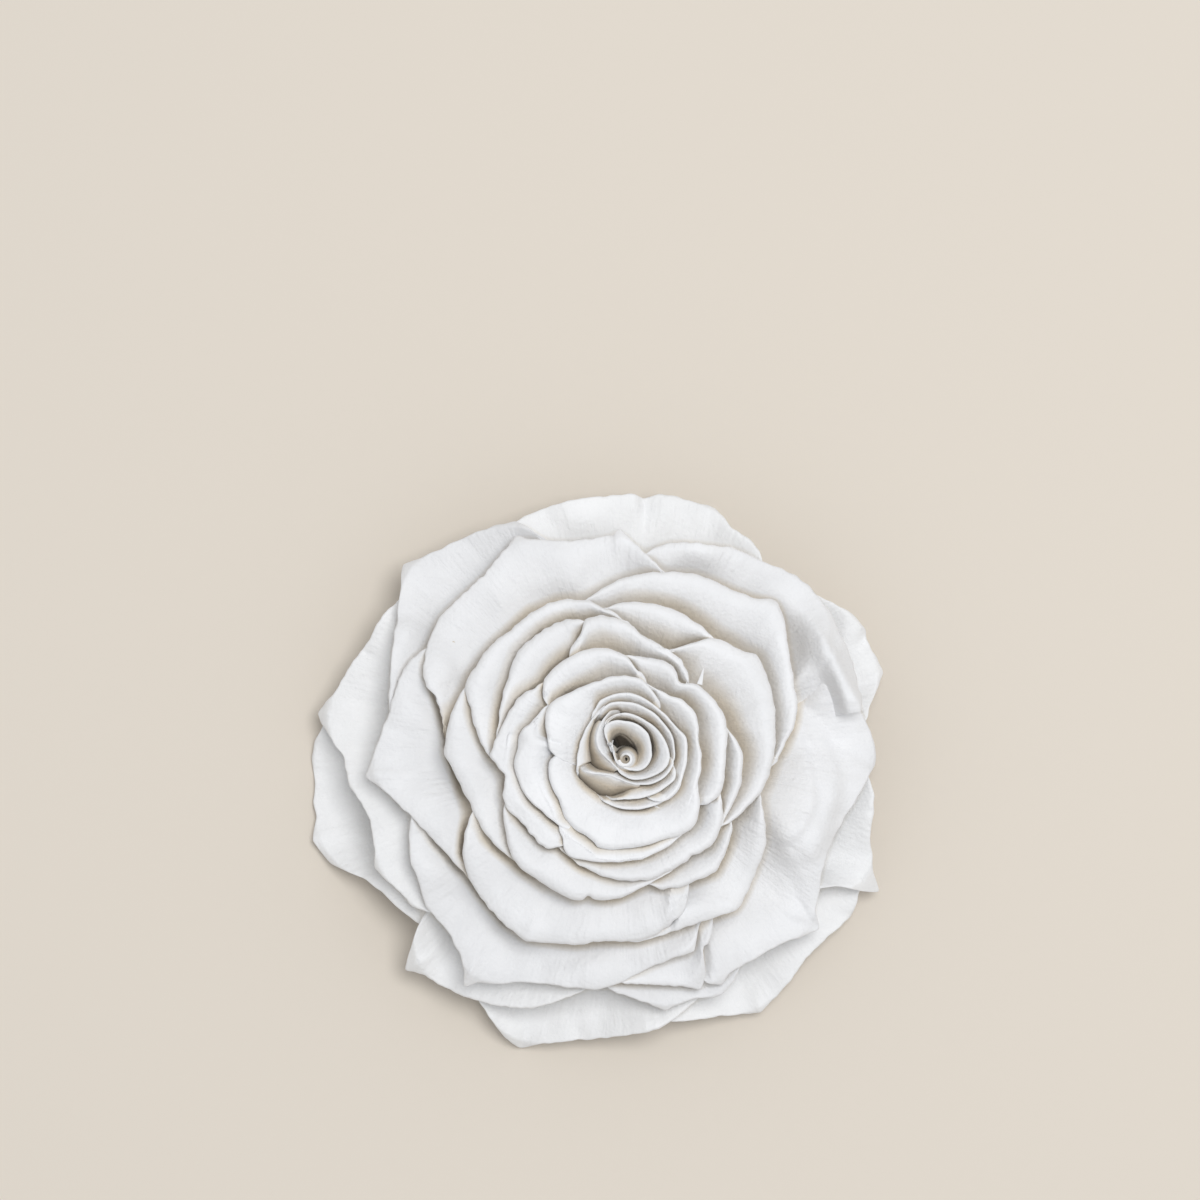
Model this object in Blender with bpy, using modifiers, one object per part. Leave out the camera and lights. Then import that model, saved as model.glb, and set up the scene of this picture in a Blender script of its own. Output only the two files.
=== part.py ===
"""An open rose head, cut just below its hip and laid face up, as it rests on a table.

The white bloom is one body: petals in nested layers, fused to a conical core. The green calyx under it is the
other: a short cut stub, the swollen hip and five sepals. Lengths are in millimetres until a mesh is made.
Z is the axis of the bloom, and the cut end of the stub is at z = 0. Bearings are in degrees from +X towards +Y.
"""

import math

import bmesh
import bpy

MM = 0.001

# Driving dimensions of the whole head
BLOOM_RADIUS = 43.0
STUB_RADIUS = 3.1
HIP_RADIUS = 6.2
PETAL_THICKNESS = 0.6
SEPAL_THICKNESS = 0.8
GAP = 0.3

# The calyx, from the cut end upwards: the stub flares into the hip, which swells and closes in to its shoulder
STUB_LENGTH = 3.0
STUB_FLARE_START = 0.4
STUB_FLARE_RISE = 0.7
STUB_FLARE = 0.6
HIP_TOP = 10.0
HIP_UNDERSIDE_DROP = 4.8
HIP_UNDERSIDE_INSET = 0.6
HIP_WIDEST_DROP = 2.8
HIP_UPPER_DROP = 1.2
HIP_UPPER_INSET = 0.2
HIP_SHOULDER_RADIUS = 5.2
CALYX_STEPS = 28
SEPAL_COUNT = 5
SEPAL_COLUMNS = 3
SEPAL_ROWS = 7
SEPAL_LENGTH = 20.0
SEPAL_HALF_WIDTH = 3.3
SEPAL_ROOT_RADIUS = 4.5
SEPAL_ROOT_HEIGHT = 8.8
SEPAL_RISE = 2.0
SEPAL_DROOP = 8.5
SEPAL_FOLD = 0.5
SEPAL_TIP_HALF_WIDTH = 0.3
SEPAL_TAPER = 0.75
SEPAL_BELLY = 0.5
SEPAL_FIRST_BEARING = 20.0

# Colours, how matt they are, and the angle from which an edge stays crisp
PETAL_WHITE = (0.92, 0.92, 0.91)
PETAL_ROUGHNESS = 0.75
CALYX_GREEN = (0.26, 0.33, 0.15)
CALYX_ROUGHNESS = 0.8
CRISP_ANGLE = 40.0

# The dome that the layers follow. It leans, because the petals grew further out on one side
LEAN_X = -2.0
LEAN_Y = -1.0
CROWN_TOP = 50.5
CROWN_FALL = 18.5
SHOULDER = 34.0
CURL = 0.035
HEART_DIP = 3.5
HEART_RADIUS = 5.0

# Each layer's wall stands a step outside the last, and its surface lies a step lower
WALL_STEP = 0.86
LAYER_DROP = 1.15
LAYER_COUNT = 25
CUP_DEPTH = 9.0
CUP_DEPTH_LOSS = 0.22
CUP_WIDTH = 9.0
CUP_WIDTH_GAIN = 0.2
TABLE_CLEARANCE = 0.7
TABLE_SOFTNESS = 0.6

# The core that the walls are rooted in
CORE_BASE = HIP_TOP + GAP
CORE_SINK = 2.0
ROOT_DEPTH = 1.6
CORE_BOWL = ((0.0, 0.0), (5.4, 0.0), (10.5, 0.5), (15.5, 1.6), (19.5, 2.8), (22.3, 3.5))
CORE_POINTS = 7

# Distance from a petal's wall to each row of points short of the rim, and degrees between its columns. Petals
# share these rows and bearings, so that the flat faces of nested petals never cut each other
ROW_OFFSETS = (0.0, 2.2, 8.0, 16.0)
RIM_ROW_LEAST = 1.2
INNER_COLUMN = 12
OUTER_COLUMN = 6
FIRST_OUTER_LAYER = 18
SIDE_MARGIN = 1.0
JOIN_DISTANCE = 0.02
TURN_JOIN_DISTANCE = 0.01
FLAT_ANGLE = 0.3

# Every petal: its layer, from the heart outwards, and its rim as (bearing, reach from the axis)
PETALS = {
    "heart_bud": (1, ((-30, 1.7), (60, 1.8), (150, 1.7), (240, 1.8), (310, 1.6))),
    "heart_inner_west": (2, ((75, 3.3), (130, 3.4), (180, 3.3), (240, 2.9), (290, 2.7))),
    "heart_inner_east": (3, ((-110, 4.2), (-60, 4.0), (0, 4.0), (40, 4.4), (95, 5.0))),
    "heart_outer_west": (4, ((95, 5.6), (140, 5.5), (190, 5.7), (240, 6.2), (290, 5.8))),
    "heart_outer_east": (5, ((-32, 6.8), (0, 7.3), (46, 7.6), (86, 8.1), (108, 8.2))),
    "throat_north_east": (6, ((-45, 8.9), (0, 9.1), (18, 9.4), (39, 8.6), (86, 9.5), (114, 9.1))),
    "throat_south": (7, ((176, 9.6), (184, 11.2), (212, 11.6), (243, 12.9), (253, 13.9), (280, 13.3), (298, 13.5),
                         (312, 14.4), (326, 13.3))),
    "throat_north": (7, ((65, 10.2), (79, 11.7), (105, 11.9), (126, 12.3), (145, 13.5), (165, 12.4))),
    "throat_east": (8, ((-48, 11.5), (-20, 11.4), (17, 11.2), (29, 12.1), (45, 11.9), (73, 11.2), (84, 10.4))),
    "throat_west": (8, ((136, 12.5), (146, 13.7), (164, 15.6), (184, 16.4), (206, 15.3), (228, 13.9))),
    "throat_south_low": (8, ((238, 16.3), (242, 16.7), (257, 15.9), (287, 14.9), (303, 14.5))),
    "inner_north_west": (9, ((82, 12.5), (90, 15.0), (113, 16.9), (130, 16.8), (145, 14.6), (151, 12.6))),
    "inner_north_east": (10, ((-27, 14.4), (0, 14.9), (28, 15.7), (48, 14.7), (55, 13.7), (67, 15.4), (90, 15.0),
                              (98, 15.9), (107, 14.8))),
    "inner_west": (10, ((134, 15.7), (149, 17.8), (165, 18.6), (180, 19.9), (191, 18.2), (203, 19.1), (229, 17.9),
                        (237, 15.4))),
    "inner_north": (11, ((48, 14.0), (65, 16.8), (82, 18.2), (95, 20.8), (105, 21.4), (109, 19.4))),
    "inner_south": (11, ((228, 16.2), (246, 17.2), (264, 18.1), (283, 18.5), (304, 17.5), (315, 18.3), (330, 16.6))),
    "cup_north_west": (12, ((103, 19.8), (112, 22.1), (130, 22.4), (147, 20.8), (162, 19.5), (173, 19.2), (182, 17.8))),
    "cup_south_west": (12, ((199, 18.4), (213, 21.0), (227, 22.6), (248, 22.5), (258, 21.4), (274, 19.9), (291, 18.3),
                            (302, 16.8))),
    "inner_east": (12, ((-44, 17.2), (-19, 17.6), (-7, 17.5), (8, 16.8), (20, 15.2), (25, 13.8))),
    "cup_east": (13, ((-41, 16.9), (-28, 18.9), (-14, 21.0), (3, 22.3), (21, 23.7), (38, 24.9), (50, 22.6), (66, 18.0))),
    "outer_cup_north_west": (13, ((93, 21.2), (104, 24.1), (120, 25.5), (140, 26.0), (155, 26.2), (172, 22.0),
                                  (184, 18.8))),
    "outer_cup_west": (14, ((153, 25.4), (166, 26.7), (178, 27.0), (196, 24.1), (214, 23.3), (228, 22.0))),
    "outer_cup_north": (14, ((43, 20.4), (54, 22.2), (72, 23.2), (87, 23.3), (98, 22.3), (107, 20.6))),
    "cup_south_east": (14, ((283, 19.2), (294, 21.0), (308, 21.8), (320, 20.2), (331, 17.6))),
    "outer_cup_south_west": (15, ((200, 23.9), (216, 29.3), (230, 30.6), (242, 31.2), (256, 28.9), (277, 26.6))),
    "outer_cup_north_east": (15, ((11, 26.2), (30, 28.6), (45, 32.4), (57, 29.8), (80, 28.0), (98, 25.3), (108, 23.0))),
    "outer_cup_south_east": (16, ((260, 26.4), (274, 27.7), (292, 27.0), (306, 28.4), (324, 25.3), (339, 22.0),
                                  (351, 20.4))),
    "north": (16, ((73, 27.6), (84, 30.6), (91, 34.4), (104, 33.5), (116, 37.0), (130, 34.6), (145, 34.9), (158, 32.7),
                   (167, 28.4))),
    "west": (17, ((148, 33.2), (160, 36.0), (175, 37.0), (184, 39.2), (192, 34.9), (207, 30.6), (223, 29.2))),
    "fold_east": (17, ((-39, 23.0), (-27, 27.8), (-14, 29.4), (-2, 25.9), (10, 24.0))),
    "north_east": (17, ((13, 36.8), (25, 37.5), (42, 38.2), (55, 36.2), (70, 34.2), (82, 31.9), (90, 29.0))),
    "east_low": (18, ((-28, 31.0), (-17, 33.3), (-6, 31.9), (5, 29.7), (12, 27.6))),
    "south": (18, ((191, 31.2), (206, 35.9), (217, 37.6), (230, 38.8), (235, 42.3), (245, 37.4), (264, 35.1), (284, 30.9),
                   (293, 28.4))),
    "north_west": (18, ((112, 37.0), (119, 40.3), (131, 42.3), (139, 44.8), (146, 41.5), (162, 37.3), (175, 34.2))),
    "east": (19, ((-18, 33.6), (-5, 36.6), (0, 38.4), (8, 37.6), (17, 35.4))),
    "guard_west": (20, ((141, 41.0), (156, 43.0), (167, 45.4), (172, 47.7), (180, 42.9), (194, 39.8), (204, 41.6),
                        (220, 36.6))),
    "south_small": (19, ((264, 34.0), (276, 34.6), (287, 36.9), (291, 31.4))),
    "guard_north": (20, ((53, 34.8), (65, 38.5), (80, 41.1), (86, 39.6), (90, 40.4), (102, 40.0), (115, 39.7),
                         (119, 38.2))),
    "guard_south_west": (21, ((218, 37.2), (224, 46.7), (236, 44.1), (250, 40.6), (263, 34.0))),
    "south_east": (20, ((287, 33.6), (293, 37.4), (305, 36.4), (318, 39.3), (329, 34.6), (340, 33.9), (350, 34.0))),
    "guard_north_east": (21, ((6, 35.8), (14, 39.4), (18, 41.9), (32, 41.2), (49, 35.6))),
    "guard_far_west": (23, ((171, 45.0), (178, 48.1), (190, 48.6), (195, 50.0), (205, 44.1), (224, 38.6))),
    "south_low": (21, ((263, 33.6), (279, 38.9), (292, 39.0), (296, 37.4))),
    "guard_east": (22, ((-38, 35.2), (-31, 38.4), (-28, 44.3), (-18, 39.3), (0, 36.0))),
    "guard_south": (23, ((233, 41.4), (243, 45.2), (251, 47.7), (265, 43.5), (284, 39.4))),
    "guard_south_east": (25, ((276, 38.2), (285, 41.8), (298, 44.5), (312, 41.5), (325, 42.6), (335, 38.4))),
}


def clear_scene():
    for item in list(bpy.data.objects):
        bpy.data.objects.remove(item)


def new_collection(name):
    made = bpy.data.collections.new(name)
    bpy.context.scene.collection.children.link(made)
    return made


def matt_material(name, colour, roughness):
    material = bpy.data.materials.new(name)
    material.use_nodes = True
    shader = material.node_tree.nodes["Principled BSDF"]
    shader.inputs["Base Color"].default_value = (*colour, 1.0)
    shader.inputs["Roughness"].default_value = roughness
    shader.inputs["Metallic"].default_value = 0.0
    return material


def wall_radius(layer):
    return WALL_STEP * layer


def crown_height(x, y):
    """Height of the dome over a point, with the dip of the heart and the bend past the shoulder."""
    from_lean = math.hypot(x - LEAN_X, y - LEAN_Y)
    from_axis = math.hypot(x, y)
    fall = CROWN_FALL * (from_lean / BLOOM_RADIUS) ** 2
    bend = CURL * max(0.0, from_lean - SHOULDER) ** 2
    dip = HEART_DIP * math.exp(-((from_axis / HEART_RADIUS) ** 2))
    return CROWN_TOP - fall - bend - dip


def layer_height(wall, reach, x, y):
    """Height of a layer's upper face: up its wall in a quarter ellipse, then out along the dome."""
    opened = min(1.0, max(0.0, reach - wall) / (CUP_WIDTH + CUP_WIDTH_GAIN * wall))
    cup = (CUP_DEPTH - CUP_DEPTH_LOSS * wall) * (1.0 - math.sqrt(1.0 - (1.0 - opened) ** 2))
    return crown_height(x, y) - LAYER_DROP * (wall - WALL_STEP) - cup


def off_table(height):
    """A petal that would pass through the table lies along it instead."""
    over = height - TABLE_CLEARANCE
    return TABLE_CLEARANCE + 0.5 * (over + math.hypot(over, 2.0 * TABLE_SOFTNESS))


def core_height(radius):
    return layer_height(radius, radius, radius, 0.0) - CORE_SINK


def rim_reach(rim, bearing):
    """How far the rim reaches at a bearing, along straight stretches between its points."""
    for (start, reach), (end, next_reach) in zip(rim, rim[1:]):
        if start <= bearing <= end:
            return reach + (next_reach - reach) * (bearing - start) / (end - start)
    return rim[0][1] if bearing < rim[0][0] else rim[-1][1]


def rim_columns(layer, rim):
    """Bearing and reach of each column. A tip between two columns goes to the nearer one."""
    step = OUTER_COLUMN if layer >= FIRST_OUTER_LAYER else INNER_COLUMN
    first = round(rim[0][0] / step)
    last = round(rim[-1][0] / step)
    columns = []
    for bearing in (step * n for n in range(first, last + 1)):
        near = [reach for point, reach in rim if abs(point - bearing) <= step / 2]
        columns.append((bearing, max([rim_reach(rim, bearing), *near])))
    # The sides stand a little past the shared bearings, so that two petals' sides never lie in one plane
    columns[0] = (columns[0][0] - SIDE_MARGIN, columns[0][1])
    columns[-1] = (columns[-1][0] + SIDE_MARGIN, columns[-1][1])
    return columns


def add_sheet(name, place, across, along, thickness, collection, material):
    """A grid of across by along points, each put where place(column, row) says, with its thickness underneath."""
    bpy.ops.mesh.primitive_grid_add(x_subdivisions=across - 1, y_subdivisions=along - 1, size=1.0)
    sheet = bpy.context.object
    sheet.name = name
    for vertex in sheet.data.vertices:
        column = round((vertex.co.x + 0.5) * (across - 1))
        row = round((vertex.co.y + 0.5) * (along - 1))
        vertex.co = [MM * value for value in place(column, row)]
    for old in list(sheet.users_collection):
        old.objects.unlink(sheet)
    collection.objects.link(sheet)
    sheet.data.materials.append(material)
    split = sheet.modifiers.new("triangles", "TRIANGULATE")
    split.quad_method = "FIXED"
    wall = sheet.modifiers.new("thickness", "SOLIDIFY")
    wall.thickness = MM * thickness
    wall.offset = -1.0
    return sheet


def add_turned(name, profile, steps, collection, material):
    """A closed solid turned about Z from (radius, height) points that run down its outer side.

    It starts half a step round from +X, so that its edges run between the petals' columns."""
    start = math.pi / steps
    points = [(MM * r * math.cos(start), MM * r * math.sin(start), MM * height) for r, height in profile]
    mesh = bpy.data.meshes.new(name)
    mesh.from_pydata(points, [(n, n + 1) for n in range(len(points) - 1)], [])
    turned = bpy.data.objects.new(name, mesh)
    collection.objects.link(turned)
    mesh.materials.append(material)
    screw = turned.modifiers.new("turn", "SCREW")
    screw.steps = steps
    screw.render_steps = steps
    screw.use_merge_vertices = True
    screw.merge_threshold = MM * TURN_JOIN_DISTANCE
    return turned


def fuse(base, pieces):
    """Joins every object of a collection to the base, and removes them."""
    bpy.ops.object.select_all(action="DESELECT")
    bpy.context.view_layer.objects.active = base
    base.select_set(True)
    join = base.modifiers.new("fuse", "BOOLEAN")
    join.operation = "UNION"
    join.operand_type = "COLLECTION"
    join.collection = pieces
    join.solver = "MANIFOLD"
    for name in [modifier.name for modifier in base.modifiers]:
        bpy.ops.object.modifier_apply(modifier=name)
    for piece in list(pieces.objects):
        bpy.data.objects.remove(piece)
    bpy.data.collections.remove(pieces)
    tidy_faces(base.data)


def tidy_faces(mesh):
    """Joins the slivers that a union leaves with the flat faces they lie in."""
    work = bmesh.new()
    work.from_mesh(mesh)
    bmesh.ops.remove_doubles(work, verts=work.verts, dist=MM * JOIN_DISTANCE)
    bmesh.ops.dissolve_limit(work, angle_limit=math.radians(FLAT_ANGLE), verts=work.verts, edges=work.edges)
    bmesh.ops.triangulate(work, faces=work.faces)
    work.to_mesh(mesh)
    work.free()


def add_petal(name, layer, rim, collection, material):
    wall = wall_radius(layer)
    columns = rim_columns(layer, rim)
    shortest = min(reach for bearing, reach in columns) - wall
    offsets = [offset for offset in ROW_OFFSETS if offset < shortest - RIM_ROW_LEAST] or [0.0]

    def place(column, row):
        # Columns run clockwise, so that the upper face looks up and towards the axis
        bearing, reach = columns[len(columns) - 1 - column]
        turn = math.radians(bearing)
        if row == 0:
            return wall * math.cos(turn), wall * math.sin(turn), core_height(wall) - ROOT_DEPTH
        out = reach if row > len(offsets) else wall + offsets[row - 1]
        x = out * math.cos(turn)
        y = out * math.sin(turn)
        return x, y, off_table(layer_height(wall, out, x, y))

    return add_sheet(name, place, len(columns), len(offsets) + 2, PETAL_THICKNESS, collection, material)


def make_bloom(collection):
    white = matt_material("white_petal", PETAL_WHITE, PETAL_ROUGHNESS)
    edge = wall_radius(LAYER_COUNT) + PETAL_THICKNESS
    slope = [edge * n / (CORE_POINTS - 1) for n in range(CORE_POINTS)]
    profile = [(radius, core_height(radius)) for radius in slope]
    profile += [(radius, CORE_BASE + height) for radius, height in reversed(CORE_BOWL)]
    core = add_turned("bloom", profile, 360 // INNER_COLUMN, collection, white)
    petals = new_collection("petals")
    for name, (layer, rim) in PETALS.items():
        add_petal(name, layer, rim, petals, white)
    fuse(core, petals)
    return core


def add_sepal(name, bearing, collection, material):
    turn = math.radians(bearing)

    def place(column, row):
        share = row / (SEPAL_ROWS - 1)
        side = 1 - column
        out = SEPAL_ROOT_RADIUS + SEPAL_LENGTH * share
        taper = (1.0 - share) ** SEPAL_TAPER * (1.0 + SEPAL_BELLY * share)
        half = SEPAL_HALF_WIDTH * taper + SEPAL_TIP_HALF_WIDTH
        height = SEPAL_ROOT_HEIGHT + SEPAL_RISE * share - SEPAL_DROOP * share ** 2
        x = out * math.cos(turn) - side * half * math.sin(turn)
        y = out * math.sin(turn) + side * half * math.cos(turn)
        return x, y, height - SEPAL_FOLD * abs(side) * half / SEPAL_HALF_WIDTH

    return add_sheet(name, place, SEPAL_COLUMNS, SEPAL_ROWS, SEPAL_THICKNESS, collection, material)


def make_calyx(collection):
    green = matt_material("green_calyx", CALYX_GREEN, CALYX_ROUGHNESS)
    profile = (
        (0.0, HIP_TOP),
        (HIP_SHOULDER_RADIUS, HIP_TOP),
        (HIP_RADIUS - HIP_UPPER_INSET, HIP_TOP - HIP_UPPER_DROP),
        (HIP_RADIUS, HIP_TOP - HIP_WIDEST_DROP),
        (HIP_RADIUS - HIP_UNDERSIDE_INSET, HIP_TOP - HIP_UNDERSIDE_DROP),
        (STUB_RADIUS + STUB_FLARE, STUB_LENGTH + STUB_FLARE_RISE),
        (STUB_RADIUS, STUB_LENGTH - STUB_FLARE_START),
        (STUB_RADIUS, 0.0),
        (0.0, 0.0),
    )
    hip = add_turned("calyx", profile, CALYX_STEPS, collection, green)
    sepals = new_collection("sepals")
    for n in range(SEPAL_COUNT):
        add_sepal(f"sepal_{n + 1}", SEPAL_FIRST_BEARING + 360.0 * n / SEPAL_COUNT, sepals, green)
    fuse(hip, sepals)
    return hip


def main():
    clear_scene()
    rose = new_collection("rose_head")
    for node in (make_bloom(rose), make_calyx(rose)):
        node.data.shade_smooth()
        node.data.set_sharp_from_angle(angle=math.radians(CRISP_ANGLE))


main()
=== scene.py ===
import math

import bpy
import numpy as np
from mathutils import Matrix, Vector


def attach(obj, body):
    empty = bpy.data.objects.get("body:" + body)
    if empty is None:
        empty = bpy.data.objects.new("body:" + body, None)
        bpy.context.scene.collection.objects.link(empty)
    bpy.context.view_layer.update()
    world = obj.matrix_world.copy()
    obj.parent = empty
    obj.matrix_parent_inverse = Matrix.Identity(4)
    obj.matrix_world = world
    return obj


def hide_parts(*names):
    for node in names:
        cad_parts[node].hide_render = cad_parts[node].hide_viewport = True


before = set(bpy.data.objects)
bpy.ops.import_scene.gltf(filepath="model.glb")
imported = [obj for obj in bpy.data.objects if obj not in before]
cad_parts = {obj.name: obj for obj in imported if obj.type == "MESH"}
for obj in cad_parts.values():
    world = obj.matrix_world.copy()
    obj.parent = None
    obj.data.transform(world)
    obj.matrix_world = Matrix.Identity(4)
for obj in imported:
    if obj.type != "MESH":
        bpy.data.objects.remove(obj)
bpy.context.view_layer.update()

bpy.ops.object.select_all(action="DESELECT")


# The petals. They grow in one long spiral, each lapped by the ones inside it, and open outwards from a
# tight bud. Preserving keeps them soft and matt, near white, with cream deep in the folds, and painted
# shade darkens the folds further. Each is one thin sheet, rooted in the receptacle or the hip, that lies
# on its own layer's surface.
MM = 0.001
PETAL_THICKNESS = 0.36
HEART_THICKNESS = 0.3
SMOOTH_ANGLE = math.radians(50.0)
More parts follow.
